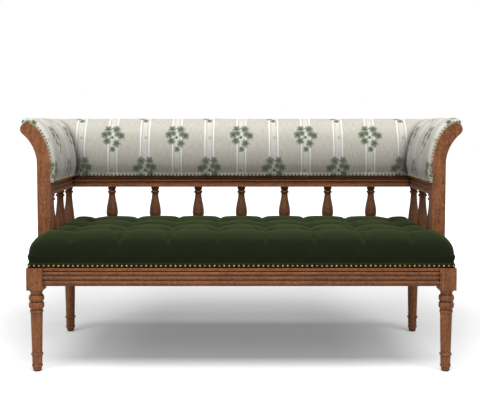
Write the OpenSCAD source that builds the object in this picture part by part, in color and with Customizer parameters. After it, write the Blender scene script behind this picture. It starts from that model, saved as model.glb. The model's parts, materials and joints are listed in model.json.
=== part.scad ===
// Settee bench: a tufted seat on a turned wooden frame, with a baluster back and rolled, padded arms.
// Millimetres. +Z is up, the sitter faces -Y, and the origin is on the floor under the middle of the bench.

/* [Overall] */
// Distance between the leg centres across the width
leg_span_x = 1300; // [1180:10:1420]
// Distance between the leg centres from front to back
leg_span_y = 550; // [520:5:600]
// Height of the tops of the leg blocks and the seat rails
rail_top_z = 333; // [310:1:360]
// Height of the underside of the moulded rail that carries the back and the arms
arm_rail_z = 551; // [530:1:580]

/* [Legs] */
// Side of the square block at the top of each leg
block_w = 52; // [48:1:60]
// Height of the square block
block_h = 71; // [65:1:80]
// Diameter of the two round bulbs under the block
bulb_d = 49; // [44:0.5:54]
// Diameter of the tapered shaft just below its collar
shaft_top_d = 37.9; // [34:0.1:41]
// Diameter of the tapered shaft just above the ankle rings
shaft_low_d = 32.3; // [28:0.1:34]
// Diameter of the foot where it meets the glide
foot_d = 26.4; // [24:0.1:29]
// Thickness of the plastic glide under each foot
glide_t = 3; // [2:0.5:4]
// Diameter of the glide
glide_d = 22; // [16:1:24]

/* [Seat rails] */
// Height of the seat rails
seat_rail_h = 57.5; // [54:0.5:66]
// Thickness of the seat rails, which also carry the posts and the balusters
seat_rail_t = 45; // [42:0.5:47]
// How far the rail faces stand back from the leg block faces
rail_setback = 2.5; // [1:0.5:4]
// Height of the flat band along the top of each rail
band_h = 8.5; // [6:0.5:12]
// Distance from one reed to the next
reed_pitch = 15; // [13:0.5:15.5]
// Width of the groove between reeds
groove_w = 3.5; // [2:0.5:5]
// Depth of the grooves
groove_deep = 4; // [2:0.5:5]
// Thickness of the tenons on the seat rails
tenon_t = 12; // [10:1:13]
// Height of the tenons on the seat rails
tenon_h = 40; // [30:1:44]
// Length of the tenons on the seat rails
tenon_len = 17; // [12:1:18]
// Width of the cross bearer under the middle of the seat
bearer_w = 45; // [35:1:60]
// Height of the cross bearer
bearer_h = 24; // [18:1:28]
// Width of the ledger strips inside the side and rear rails
ledger_w = 30; // [24:1:36]
// Height of the ledger strips
ledger_h = 28; // [22:1:30]
// Length of each corner block along the rails
corner_len = 60; // [45:1:80]
// Height of each corner block
corner_h = 26; // [20:1:27]

/* [Posts and moulded rails] */
// Width of the arm posts and of the moulded rail
post_w = 43.5; // [40:0.5:48]
// Depth of the arm posts from front to back
post_d = 47; // [40:1:55]
// Distance from the front leg centres back to the front of the posts
post_back = 125; // [110:1:140]
// Height of the moulded rail
arm_rail_h = 39; // [34:0.5:44]
// Width of the tenons on the posts and the moulded arm rails
post_tenon_w = 24; // [18:1:28]
// Length of the tenon under each post
post_tenon_len = 30; // [20:1:36]
// Thickness of the tenon at the front of each moulded arm rail
rail_tenon_t = 14; // [10:1:18]
// Length of the tenon at the front of each moulded arm rail
rail_tenon_len = 20; // [14:1:26]

/* [Rolled profile] */
// How far the inner curve leans out from the post's inner face
roll_out = 85; // [75:1:95]
// Height of the inner curve above where it starts
roll_h = 150; // [135:1:160]
// Height at which the inner curve starts to lean out
inner_flare_z = 640; // [630:1:660]
// How much higher the outer curve starts to lean out
outer_flare_up = 15; // [5:1:25]
// Radius of the rounded nose at the top
nose_r = 20.5; // [18:0.5:23]

/* [Balusters] */
// Widest diameter of a baluster
baluster_d = 43.5; // [36:0.1:46]
// Diameter of the cap under the moulded rail
cap_d = 29.6; // [26:0.1:31]
// Diameter of the thin ring under the cap
cap_ring_d = 31.8; // [28:0.1:34]
// Diameter of the neck at the top of the vase
neck_d = 23.5; // [19:0.1:25]
// Diameter of the round pins at both ends
pin_d = 13; // [10:0.5:13]
// Length of the pins
pin_len = 16; // [12:1:18]
// Spacing of the balusters under each arm
arm_baluster_pitch = 162.5; // [150:0.5:170]

/* [Back and arm padding] */
// Height of the cloth edge above the floor
pad_low_z = 592; // [591:0.5:600]
// Height of the straight edge along the foot of the padding
pad_edge_h = 11; // [8:0.5:14]
// Thickness of the padding along its lower edge
pad_low_t = 10; // [9:0.5:12]
// Thickness of the padding over the curve
pad_t = 18; // [15:0.5:20]
// Thickness of the ply skin under the padding
skin_t = 5; // [4:0.5:6]
// Thickness of the printed cloth
cloth_t = 2; // [1.5:0.1:2.5]
// Thickness of the outside panels, card covered with cloth
outside_t = 3; // [2.5:0.1:4]
// Thickness of the ribs inside the back and the arms
rib_t = 18; // [15:1:22]
// Distance between the ribs inside the back
back_rib_pitch = 240; // [200:5:280]

/* [Seat cushion] */
// Height of the tops of the tufted pillows
seat_top_z = 445; // [430:1:455]
// Height at which the cushion's sides swell out most, and start to roll in
side_top_z = 372; // [364:1:380]
// How far the nailed band stands back from the leg block faces
seat_setback = 3.5; // [2:0.5:5]
// How far the nailed band stands out past the cushion's sides
band_out = 2; // [1:0.5:3]
// How far the sides are drawn in just above the nailed band
drawn_in = 2.5; // [1:0.5:4]
// Height of the nailed band
tack_band_h = 13; // [11:0.5:16]
// Width of the rounded roll along the front top edge
front_roll_w = 92; // [75:1:105]
// Width of the rounded roll at the front ends
seat_roll_w = 75; // [60:1:85]
// Width of the tighter roll where the cushion is squeezed between the balusters and posts
held_roll_w = 24; // [18:1:40]
// How far the cushion's sides swell out there
side_swell = 3; // [1:0.5:3]
// Gap between the seat and the posts and balusters
seat_gap = 1.5; // [1:0.5:3]
// Spacing of the tufts across the width
tuft_pitch_x = 154; // [140:1:160]
// Spacing of the tufts from front to back
tuft_pitch_y = 149; // [140:1:155]
// Distance from the front leg centres back to the first row of tufts
tuft_back = 115; // [105:1:120]
// How far the lines between the tufts dip
line_dip = 10; // [6:0.5:14]
// How much deeper the tufts go than the lines
tuft_dip = 18; // [12:1:24]
// Share of the lines' dip that is lost between the outer tufts and the cushion's edges
line_fade = 0.6; // [0:0.05:0.8]
// Diameter of the covered buttons
button_d = 16; // [12:1:18]
// Thickness of the cushion cover and its wadding at the sides
cover_wall = 4; // [3:0.5:6]
// Width of the battens under the cushion
batten_w = 45; // [40:1:50]
// Height of the battens under the cushion
batten_h = 25; // [20:1:28]
// Width of the webbing straps
web_w = 50; // [40:1:60]
// Thickness of the webbing
web_t = 1.5; // [1:0.1:2]
// Thickness of the hessian over the webbing
hessian_t = 1; // [0.8:0.1:1.5]
// Thickness of the foam slab under the padding
foam_t = 23; // [18:1:26]

/* [Nails and screws] */
// Diameter of the brass nail heads on the back and the arms
nail_d = 6; // [5:0.1:7]
// Spacing of the nails up the arm fronts
arm_nail_pitch = 11.6; // [10:0.1:13]
// Spacing of the nails along the foot of the back and the arms
back_nail_pitch = 13.4; // [12:0.1:15]
// Diameter of the brass nail heads around the seat
seat_nail_d = 7; // [6:0.1:8]
// Spacing of the nails around the seat
seat_nail_pitch = 15.4; // [13:0.1:17]
// Diameter of the corner screws
corner_screw_d = 6; // [5:0.5:8]
// Diameter of the ledger screws
ledger_screw_d = 4; // [3.5:0.5:5]

/* [Hidden] */
BACK_BALUSTERS = 9;
TUFTS_X = 8;
TUFTS_Y = 3;

$fn = 48;
WOOD = [0.44, 0.26, 0.17];
PLAIN_WOOD = [0.72, 0.58, 0.42];
CLOTH = [0.78, 0.77, 0.73];
VELVET = [0.16, 0.22, 0.11];
FOAM = [0.93, 0.88, 0.72];
BRASS = [0.72, 0.55, 0.25];
STEEL = [0.6, 0.6, 0.62];
BLACK = [0.1, 0.1, 0.1];
HESSIAN = [0.66, 0.56, 0.4];

// Clearance round tenons and pins, clearance at their ends, and the gap left beside soft pieces
fit_gap = 0.2;
end_gap = 1;
soft_gap = 0.3;
big = 2000;

// The rolled profile. u is the distance outwards from the line of the balusters, and z the height.
post_half = post_w / 2;
nose_turn = 80;
function inner_point(a) = [roll_out - post_half - roll_out * cos(a), inner_flare_z + roll_h * sin(a)];
function inner_normal(a) = let (v = [-cos(a) / roll_out, sin(a) / roll_h]) v / norm(v);
nose_c = inner_point(nose_turn) - nose_r * inner_normal(nose_turn);
nose_start = atan2(inner_normal(nose_turn)[1], inner_normal(nose_turn)[0]);
outer_flare_z = inner_flare_z + outer_flare_up;
hollow_du = nose_c[0] - post_half;
hollow_dz = nose_c[1] - outer_flare_z;
hollow_r = (hollow_du * hollow_du + hollow_dz * hollow_dz - nose_r * nose_r)
    / (2 * (hollow_du + nose_r));
hollow_c = [post_half + hollow_r, outer_flare_z];
hollow_turn = atan2(hollow_c[1] - nose_c[1], hollow_c[0] - nose_c[0]);
nose_reach = nose_c[0] + nose_r;
// The inside cloth ends this many degrees above the nose's outermost point.
cloth_end = 50;

// Places in plan
leg_x = leg_span_x / 2;
depth = block_w / 2 + leg_span_y + nose_reach;
front_y = block_w / 2 - depth / 2;
rear_y = front_y + leg_span_y;
mid_y = (front_y + rear_y) / 2;
block_half = block_w / 2;
rail_out = block_half - rail_setback;
rail_in = seat_rail_t - rail_out;
seat_rail_z = rail_top_z - seat_rail_h;
post_y = front_y + post_back;
post_end_y = post_y + post_d;
arm_rail_top = arm_rail_z + arm_rail_h;
back_baluster_pitch = leg_span_x / (BACK_BALUSTERS - 1);
function back_baluster_x(i) = (i - (BACK_BALUSTERS + 1) / 2) * back_baluster_pitch;
arm_baluster_y = [rear_y - 2 * arm_baluster_pitch, rear_y - arm_baluster_pitch];

// Seat cushion plan: a T, wide in front of the posts and narrower between the balusters
seat_x = leg_x + block_half - seat_setback - band_out;
seat_in_x = leg_x - max(post_w, baluster_d) / 2 - seat_gap - band_out;
seat_front = front_y - block_half + seat_setback + band_out;
seat_notch = post_y - seat_gap - band_out;
seat_rear = rear_y - baluster_d / 2 - seat_gap - band_out;
frame_in = drawn_in + cover_wall;
batten_top = rail_top_z + batten_h;
strap_gap = 0.2;
foam_z = batten_top + 2 * web_t + strap_gap + hessian_t;
foam_top = foam_z + foam_t;

module left() { mirror([1, 0, 0]) children(); }

// Local axes at a leg: +X and +Y point inwards along the two rails, from the leg's centre
module at_leg(left_side, rear)
    translate([0, mid_y, 0]) mirror([left_side ? 1 : 0, 0, 0]) mirror([0, rear ? 1 : 0, 0])
        translate([leg_x, -leg_span_y / 2, 0]) mirror([1, 0, 0]) children();

module at_all_legs() for (s = [false, true], r = [false, true]) at_leg(s, r) children();

// Turned work

// Points of a rounded bead between two heights, from its root radius out to its full radius
function bead(z0, z1, r_root, r_full) =
    [for (a = [0:20:180]) [r_root + (r_full - r_root) * sin(a), (z0 + z1) / 2 - (z1 - z0) / 2 * cos(a)]];

ankle_r = 16;
foot_top_z = 14;
ring_low_z = 22;
ring_high_z = [50, 59.5];
shaft_top_z = 186;
collar_z = [188, 197.5];
bulb_z = [201, 224, 246];
waist_r = 18.5;
shoulder_z = rail_top_z - block_h;
// The heights above suit a block that starts here. The upper turning moves up or down with the block.
usual_shoulder_z = 262;
turned_shift = shoulder_z - usual_shoulder_z;

leg_profile = concat(
    [[0, glide_t], [foot_d / 2, glide_t], [foot_d / 2 + 1.2, foot_top_z]],
    bead(foot_top_z, ring_low_z, foot_d / 2 + 1.8, foot_d / 2 + 4.2),
    [[ankle_r - 0.4, ring_low_z + 1]],
    bead(ring_high_z[0], ring_high_z[1], ankle_r, ankle_r + 3.4),
    [[shaft_low_d / 2, ring_high_z[1] + 1],
     [shaft_top_d / 2, shaft_top_z + turned_shift]],
    bead(collar_z[0] + turned_shift, collar_z[1] + turned_shift, shaft_top_d / 2, shaft_top_d / 2 + 2.2),
    [[waist_r - 0.3, collar_z[1] + 1.6 + turned_shift]],
    bead(bulb_z[0] + turned_shift, bulb_z[1] + turned_shift, waist_r, bulb_d / 2),
    bead(bulb_z[1] + 0.6 + turned_shift, bulb_z[2] + turned_shift, waist_r, bulb_d / 2),
    [for (a = [0:15:75]) [waist_r + (block_half - 1 - waist_r) * (1 - cos(a)),
        bulb_z[2] + 1 + turned_shift + (shoulder_z - bulb_z[2] - 3 - turned_shift) * sin(a)]],
    [[block_half - 1.5, shoulder_z - 1.5], [block_half - 1.5, shoulder_z + 2], [0, shoulder_z + 2]]);

tenon_z = seat_rail_z + (seat_rail_h - tenon_h) / 2;
corner_z = rail_top_z - ledger_h - corner_h;
corner_screw_z = corner_z + corner_h / 2;
// How far the corner block's long face stands from the leg's centre, measured along the diagonal
corner_face = (block_half + corner_len + rail_in) / sqrt(2);
pilot_depth = 19;
corner_tip = block_half * sqrt(2) - pilot_depth;

// A shape set along the diagonal through a corner block, pointing at the leg's centre
module on_diagonal() translate([0, 0, corner_screw_z]) rotate([0, 90, 45]) children();

module leg(rear) color(WOOD) difference() {
    union() {
        rotate_extrude() polygon(leg_profile);
        translate([-block_half, -block_half, shoulder_z]) cube([block_w, block_w, block_h]);
    }
    for (turn = [0, 90]) mirror([turn == 90 ? 1 : 0, turn == 90 ? -1 : 0, 0])
        translate([block_half - tenon_len - end_gap, -tenon_t / 2 - fit_gap, tenon_z - fit_gap])
            cube([tenon_len + end_gap + 1, tenon_t + 2 * fit_gap, tenon_h + 2 * fit_gap]);
    on_diagonal() translate([0, 0, corner_tip]) cylinder(d = corner_screw_d, h = pilot_depth + 10);
    translate([0, 0, glide_t - 1]) cylinder(d = glide_pin_d, h = glide_pin_len + 1);
    if (rear) translate([0, 0, rail_top_z - pin_len - end_gap])
        cylinder(d = pin_d + fit_gap, h = pin_len + end_gap + 1);
}

glide_pin_d = 3;
glide_pin_len = 12;
module leg_glides() color(BLACK) at_all_legs() {
    cylinder(d = glide_d, h = glide_t);
    translate([0, 0, glide_t - 1]) cylinder(d = glide_pin_d, h = glide_pin_len);
}

baluster_h = arm_rail_z - rail_top_z;
neck_z = baluster_h - 26;
stem_d = neck_d + 0.6;
// The back's balusters are widest high up. Those of the arms and corners are widest low down,
// so that they show as long cones above the seat.
back_belly_z = baluster_h - 98.5;
back_stem_z = 72;
arm_belly_z = baluster_h - 150;
arm_stem_z = 34;
// The turned foot, measured down from the stem
foot_cone_drop = [42, 18];
foot_ring_drop = [14, 5];
// Vase curve from the stem up to the belly, then up to the neck
function baluster_profile(belly_z, stem_z) = concat(
    [[0, 0], [cap_d / 2, 0], [cap_d / 2, 7], [cap_d / 2 - 2, 9],
     [cap_d / 2 - 1, max(11, stem_z - foot_cone_drop[0])], [stem_d / 2, stem_z - foot_cone_drop[1]]],
    bead(stem_z - foot_ring_drop[0], stem_z - foot_ring_drop[1], stem_d / 2, cap_ring_d / 2),
    [[stem_d / 2, stem_z]],
    [for (a = [10:16:90]) [stem_d / 2 + (baluster_d - stem_d) / 2 * (1 - pow(cos(a), 1.6)),
        stem_z + (belly_z - stem_z) * a / 90]],
    [for (a = [15:15:90]) [neck_d / 2 + (baluster_d - neck_d) / 2 * (1 - pow(sin(a), 1.5)),
        belly_z + (neck_z - belly_z) * pow(a / 90, 0.8)]],
    bead(baluster_h - 25, baluster_h - 15, neck_d / 2, cap_ring_d / 2),
    [[neck_d / 2 - 0.2, baluster_h - 13.5], [cap_d / 2 - 0.8, baluster_h - 10],
     [cap_d / 2, baluster_h - 9], [cap_d / 2, baluster_h], [0, baluster_h]]);

module baluster(belly_z, stem_z) translate([0, 0, rail_top_z]) {
    rotate_extrude() polygon(baluster_profile(belly_z, stem_z));
    translate([0, 0, -pin_len]) cylinder(d = pin_d, h = pin_len + 1);
    translate([0, 0, baluster_h - 1]) cylinder(d = pin_d, h = pin_len + 1);
}

// A hole for a baluster's pin, going down from the seat rails or up into the moulded rail
module low_pin_hole() translate([0, 0, rail_top_z - pin_len - end_gap])
    cylinder(d = pin_d + fit_gap, h = pin_len + end_gap + 1);
module high_pin_hole() translate([0, 0, arm_rail_z - 1])
    cylinder(d = pin_d + fit_gap, h = pin_len + end_gap + 1);

module back_baluster(i) color(WOOD) translate([back_baluster_x(i), rear_y, 0])
    if (i == 1 || i == BACK_BALUSTERS) baluster(arm_belly_z, arm_stem_z);
    else baluster(back_belly_z, back_stem_z);
module arm_balusters() color(WOOD) for (y = arm_baluster_y) translate([leg_x, y, 0])
    baluster(arm_belly_z, arm_stem_z);

// Seat rails

// Outline of a rail across its thickness: a flat band, then three reeds with grooves between
function reed(top, r_w) = [for (a = [0:30:180])
    [rail_out - groove_deep + groove_deep * sin(a), top - r_w / 2 + r_w / 2 * cos(a)]];
reed_w = reed_pitch - groove_w;
rail_profile = concat(
    [[-rail_in, seat_rail_z], [-rail_in, rail_top_z], [rail_out, rail_top_z],
     [rail_out, rail_top_z - band_h], [rail_out - groove_deep, rail_top_z - band_h - 1]],
    [for (i = [0:2], p = reed(rail_top_z - band_h - groove_w - i * reed_pitch + 1, reed_w)) p],
    [[rail_out - groove_deep + 1, seat_rail_z]]);

// A seat rail with its front face towards -Y, running along X between two shoulders
module seat_rail(half_len) {
    rotate([90, 0, 90]) translate([0, 0, -half_len])
        linear_extrude(2 * half_len) mirror([1, 0]) polygon(rail_profile);
    translate([-half_len - tenon_len, -tenon_t / 2, tenon_z])
        cube([2 * (half_len + tenon_len), tenon_t, tenon_h]);
}
long_half = leg_x - block_half;
short_half = leg_span_y / 2 - block_half;

module bearer_hole()
    translate([-bearer_w / 2 - fit_gap, front_y + rail_in - bearer_tenon - end_gap, bearer_z - fit_gap])
    cube([bearer_w + 2 * fit_gap, leg_span_y - 2 * rail_in + 2 * (bearer_tenon + end_gap),
          bearer_h + 2 * fit_gap]);
bearer_tenon = 12;
bearer_z = rail_top_z - ledger_h - bearer_h - 1;

module front_seat_rail() color(WOOD) difference() {
    translate([0, front_y, 0]) seat_rail(long_half);
    bearer_hole();
}

module rear_seat_rail() color(WOOD) difference() {
    translate([0, rear_y, 0]) mirror([0, 1, 0]) seat_rail(long_half);
    bearer_hole();
    for (i = [2:BACK_BALUSTERS - 1]) translate([back_baluster_x(i), rear_y, 0]) low_pin_hole();
    rear_ledger_screws();
}

module side_seat_rail() color(WOOD) difference() {
    translate([leg_x, mid_y, 0]) rotate([0, 0, 90]) seat_rail(short_half);
    for (y = arm_baluster_y) translate([leg_x, y, 0]) low_pin_hole();
    translate([leg_x - post_tenon_w / 2 - fit_gap, post_y + post_shoulder - fit_gap,
               rail_top_z - post_tenon_len - end_gap])
        cube([post_tenon_w + 2 * fit_gap, post_d - 2 * post_shoulder + 2 * fit_gap,
              post_tenon_len + end_gap + 1]);
    side_ledger_screws();
}

module cross_bearer() color(PLAIN_WOOD)
    translate([-bearer_w / 2, front_y + rail_in - bearer_tenon, bearer_z])
        cube([bearer_w, leg_span_y - 2 * rail_in + 2 * bearer_tenon, bearer_h]);

// Ledgers, corner blocks and their screws
screw_bite = 12;
screw_head_h = 3;
ledger_z = rail_top_z - ledger_h;

// A countersunk screw, which also cuts its own hole: the head is at z = 0 and the tip points up
module screw(d, len) {
    cylinder(d = d, h = len);
    cylinder(r1 = d, r2 = d / 2, h = screw_head_h);
}

module side_ledger_screws() for (f = [0.15, 0.5, 0.85])
    translate([leg_x - rail_in - ledger_w, front_y + block_half + f * (leg_span_y - block_w),
               ledger_z + ledger_h / 2])
        rotate([0, 90, 0]) screw(ledger_screw_d, ledger_w + screw_bite);

module rear_ledger_screws() for (f = [-0.42, -0.21, 0, 0.21, 0.42])
    translate([f * leg_span_x, rear_y - rail_in - ledger_w, ledger_z + ledger_h / 2])
        rotate([-90, 0, 0]) screw(ledger_screw_d, ledger_w + screw_bite);

module side_ledger() difference() {
    translate([leg_x - rail_in - ledger_w, front_y + block_half, ledger_z])
        cube([ledger_w, leg_span_y - block_w, ledger_h]);
    side_ledger_screws();
}
module side_ledgers() color(PLAIN_WOOD) { side_ledger(); left() side_ledger(); }

module rear_ledger() color(PLAIN_WOOD) difference() {
    translate([-leg_x + rail_in + ledger_w, rear_y - rail_in - ledger_w, ledger_z])
        cube([leg_span_x - 2 * (rail_in + ledger_w), ledger_w, ledger_h]);
    rear_ledger_screws();
}

module ledger_screws() color(STEEL) {
    side_ledger_screws();
    left() side_ledger_screws();
    rear_ledger_screws();
}

corner_shape = [[block_half, rail_in], [block_half + corner_len, rail_in],
    [rail_in, block_half + corner_len], [rail_in, block_half], [block_half, block_half]];

module corner_screw() on_diagonal() translate([0, 0, corner_face]) mirror([0, 0, 1])
    screw(corner_screw_d, corner_face - corner_tip);

module corner_blocks() color(PLAIN_WOOD) at_all_legs() difference() {
    translate([0, 0, corner_z]) linear_extrude(corner_h) polygon(corner_shape);
    corner_screw();
}
module corner_screws() color(STEEL) at_all_legs() corner_screw();

// Rolled shapes. Each is an outline in u and z, run along an arm or along the back.
pad_swell_z = pad_low_z + pad_edge_h;
pad_full_z = max(inner_flare_z, pad_low_z + 3 * pad_edge_h);
line_steps = [pad_low_z + cloth_t, pad_swell_z, pad_swell_z + pad_edge_h,
    (pad_swell_z + pad_edge_h + pad_full_z) / 2];
// The turn of the inner curve at a height, and how far out the wood's inner line is there
function turn_at(z) = asin(min(1, max(0, z - inner_flare_z) / roll_h));
function inner_u(z) = inner_point(turn_at(z))[0];
curve_start = turn_at(pad_full_z);
curve_steps = 20;
function inner_curve(off, first = 0) = [for (i = [0:curve_steps])
    let (a = first + (nose_turn - first) * i / curve_steps) inner_point(a) + off * inner_normal(a)];
function nose_arc(a0, a1, r, n) = [for (i = [0:n]) let (a = a0 + (a1 - a0) * i / n)
    nose_c + r * [cos(a), sin(a)]];
function hollow_arc(grow) = [for (i = [0:8]) let (a = hollow_turn + 180 - hollow_turn * i / 8)
    hollow_c + (hollow_r + grow) * [cos(a), sin(a)]];

// The full wooden outline of a post from a given height up
function post_outline(z0) = concat([[-post_half, z0]], inner_curve(0),
    nose_arc(nose_start - 10, hollow_turn + 5, nose_r, 14), hollow_arc(0), [[post_half, z0]]);

// The padding's thickness: thin at its lower edge, full over the curve, fading out round the nose
function line_pad(z) = pad_low_t
    + (pad_t - pad_low_t) * sin(90 * max(0, z - pad_swell_z) / (pad_full_z - pad_swell_z));
function nose_pad(a) = cloth_t + (pad_t - cloth_t) * pow((a - cloth_end) / (nose_start - cloth_end), 0.41);
// The padding's surface, drawn in from its full thickness by an amount, ending at an angle round the nose
function pad_line(in, turn) = concat(
    [for (z = line_steps) [inner_u(z) - line_pad(z) + in, z]],
    inner_curve(pad_t - in, curve_start),
    [for (i = [1:8]) let (a = nose_start + (turn - nose_start) * i / 8)
        nose_c + (nose_r + nose_pad(a) - in) * [cos(a), sin(a)]]);
function wood_line(off) = concat([for (z = line_steps) [inner_u(z) - off, z]],
    inner_curve(off, curve_start));
function nose_line(turn) = nose_arc(nose_start - 10, turn, nose_r + soft_gap, 8);
function backwards(v) = [for (i = [len(v) - 1:-1:0]) v[i]];

skin_shape = concat(wood_line(0), backwards(wood_line(skin_t)));
foam_end = cloth_end + 15;
foam_shape = concat(wood_line(skin_t), nose_line(foam_end), backwards(pad_line(cloth_t, foam_end)));
lip = [[inner_u(pad_low_z), pad_low_z], [inner_u(pad_low_z) - pad_low_t, pad_low_z]];
cover_shape = concat(lip, pad_line(0, cloth_end), backwards(pad_line(cloth_t, cloth_end)),
    [[inner_u(pad_low_z), pad_low_z + cloth_t]]);
front_shape = concat(lip, pad_line(0, cloth_end),
    backwards(concat(wood_line(0), nose_line(cloth_end))));
outside_shape = concat(
    nose_arc(cloth_end, hollow_turn, nose_r, 8), hollow_arc(0), [[post_half, arm_rail_top]],
    [[post_half - outside_t, arm_rail_top]], backwards(hollow_arc(outside_t)),
    backwards(nose_arc(cloth_end, hollow_turn, nose_r - outside_t, 8)));
bar_turn = 250;
full_turn = 360;
bar_shape = concat(nose_arc(cloth_end, bar_turn, nose_r, 22),
    nose_arc(bar_turn, cloth_end + full_turn, nose_r - outside_t - soft_gap, 14));
// A rib follows the curve up to the bar, cups the bar from below and comes down inside the outside cloth.
rib_start = turn_at(arm_rail_top);
rib_top_turn = 60;
rib_cup_start = 150;
rib_clearance = 10;
rib_shape = concat([[inner_u(arm_rail_top), arm_rail_top]],
    [for (i = [1:15]) inner_point(rib_start + (rib_top_turn - rib_start) * i / 15)],
    nose_arc(rib_cup_start, bar_turn, nose_r + soft_gap, 8),
    nose_arc(bar_turn, full_turn + hollow_turn - rib_clearance, nose_r - outside_t, 5),
    hollow_arc(outside_t + soft_gap), [[post_half - outside_t - soft_gap, arm_rail_top]]);

// The moulded rail's section: a flat band, groove, bead, cove and top fillet, from below
groove_z = [12, 18];
bead_z = 22.5;
cove_z = 28;
rail_half = [[post_half, 0], [post_half, 10.5], [post_half - 4, groove_z[0]], [post_half - 4, groove_z[1]],
    for (a = [-90:30:90]) [post_half - 4.5 + 4.5 * cos(a), bead_z + 4 * sin(a)],
    for (a = [0:30:90]) [post_half - 5 + 5 * (1 - cos(a)), cove_z + 6.6 * sin(a)],
    [post_half, arm_rail_h]];
moulding = [for (p = concat(rail_half, [for (q = backwards(rail_half)) [-q[0], q[1]]]))
    [p[0], arm_rail_z + p[1]]];

// Runs an outline along the right arm, from a given depth back to the mitred corner
module along_arm(y0, mitre = true) intersection() {
    translate([leg_x, rear_y + 2 * nose_reach, 0]) rotate([90, 0, 0])
        linear_extrude(rear_y + 2 * nose_reach - y0) children();
    if (mitre) linear_extrude(big) polygon([[leg_x - corner_far, rear_y - corner_far],
        [leg_x + corner_far, rear_y + corner_far], [leg_x + corner_far, y0 - 1],
        [leg_x - corner_far, y0 - 1]]);
}
corner_far = 140;

// Runs an outline along the back between its two mitred corners
module along_back() intersection() {
    translate([-leg_x - 2 * nose_reach, rear_y, 0]) rotate([90, 0, 90])
        linear_extrude(leg_span_x + 4 * nose_reach) children();
    linear_extrude(big) polygon([for (p = [[-1, -1], [1, -1], [1, 1], [-1, 1]])
        [p[0] * (leg_x + p[1] * corner_far), rear_y + p[1] * corner_far]]);
}

// A slice of an outline across the right arm or across the back
module across_arm(y, t)
    translate([leg_x, y + t / 2, 0]) rotate([90, 0, 0]) linear_extrude(t) children();
module across_back(x, t)
    translate([x - t / 2, rear_y, 0]) rotate([90, 0, 90]) linear_extrude(t) children();

post_shoulder = 8;
bar_pin_d = 12;
bar_pin_len = 18;
rail_tenon_z = arm_rail_z + (arm_rail_h - post_tenon_w) / 2;

module arm_post() color(WOOD) difference() {
    union() {
        across_arm(post_y + post_d / 2, post_d) polygon(post_outline(rail_top_z));
        translate([leg_x - post_tenon_w / 2, post_y + post_shoulder, rail_top_z - post_tenon_len])
            cube([post_tenon_w, post_d - 2 * post_shoulder, post_tenon_len + 1]);
    }
    translate([leg_x - rail_tenon_t / 2 - fit_gap, post_end_y - rail_tenon_len - end_gap,
               rail_tenon_z - fit_gap])
        cube([rail_tenon_t + 2 * fit_gap, rail_tenon_len + 10, post_tenon_w + 2 * fit_gap]);
    translate([leg_x + nose_c[0], post_end_y + 1, nose_c[1]]) rotate([90, 0, 0])
        cylinder(d = bar_pin_d + fit_gap, h = bar_pin_len + end_gap + 1);
}

module arm_rail() color(WOOD) difference() {
    union() {
        along_arm(post_end_y) polygon(moulding);
        translate([leg_x - rail_tenon_t / 2, post_end_y - rail_tenon_len, rail_tenon_z])
            cube([rail_tenon_t, rail_tenon_len + 1, post_tenon_w]);
    }
    for (y = concat(arm_baluster_y, [rear_y])) translate([leg_x, y, 0]) high_pin_hole();
}

module back_rail() color(WOOD) difference() {
    along_back() polygon(moulding);
    for (i = [1:BACK_BALUSTERS]) translate([back_baluster_x(i), rear_y, 0]) high_pin_hole();
}

module back_top_rail() color(PLAIN_WOOD) along_back() polygon(bar_shape);
module arm_top_rail() {
    along_arm(post_end_y) polygon(bar_shape);
    translate([leg_x + nose_c[0], post_end_y + 1, nose_c[1]]) rotate([90, 0, 0])
        cylinder(d = bar_pin_d, h = bar_pin_len + 1);
}
module arm_top_rails() color(PLAIN_WOOD) { arm_top_rail(); left() arm_top_rail(); }

back_ribs_each_side = floor((leg_x - 2 * rib_t) / back_rib_pitch);
module back_ribs() color(PLAIN_WOOD)
    for (i = [-back_ribs_each_side:back_ribs_each_side])
        across_back(i * back_rib_pitch, rib_t) polygon(rib_shape);
arm_rib_y = [for (f = [0.33, 0.72]) post_end_y + f * (rear_y - post_end_y)];
module arm_ribs() color(PLAIN_WOOD) for (y = arm_rib_y) {
    across_arm(y, rib_t) polygon(rib_shape);
    left() across_arm(y, rib_t) polygon(rib_shape);
}

module back_skin() color(PLAIN_WOOD) along_back() polygon(skin_shape);
module arm_skins() color(PLAIN_WOOD) {
    along_arm(post_y + cloth_t) polygon(skin_shape);
    left() along_arm(post_y + cloth_t) polygon(skin_shape);
}
module back_foam() color(FOAM) along_back() polygon(foam_shape);
module arm_foams() color(FOAM) {
    along_arm(post_y + cloth_t) polygon(foam_shape);
    left() along_arm(post_y + cloth_t) polygon(foam_shape);
}
module back_cover() color(CLOTH) along_back() polygon(cover_shape);
module arm_cover() color(CLOTH) {
    along_arm(post_y + cloth_t) polygon(cover_shape);
    across_arm(post_y + cloth_t / 2, cloth_t) polygon(front_shape);
}
module back_outside() color(CLOTH) along_back() polygon(outside_shape);
module arm_outside() color(CLOTH) along_arm(post_end_y) polygon(outside_shape);

// Nails

// A dome standing on the plane z = 0
module dome(d, h) intersection() {
    translate([0, 0, h - (d * d / 4 + h * h) / (2 * h)]) sphere(r = (d * d / 4 + h * h) / (2 * h), $fn = 24);
    cylinder(d = 2 * d, h = 2 * h, $fn = 16);
}
module nail(d) dome(d, 0.36 * d);

// Running length along a path, and the point at a given length
function run(path) = [for (i = 0, s = 0; i < len(path);
    s = s + (i + 1 < len(path) ? norm(path[i + 1] - path[i]) : 0), i = i + 1) s];
function place(path, lengths, s) =
    [for (k = [0, 1]) lookup(s, [for (i = [0:len(path) - 1]) [lengths[i], path[i][k]]])];

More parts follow.
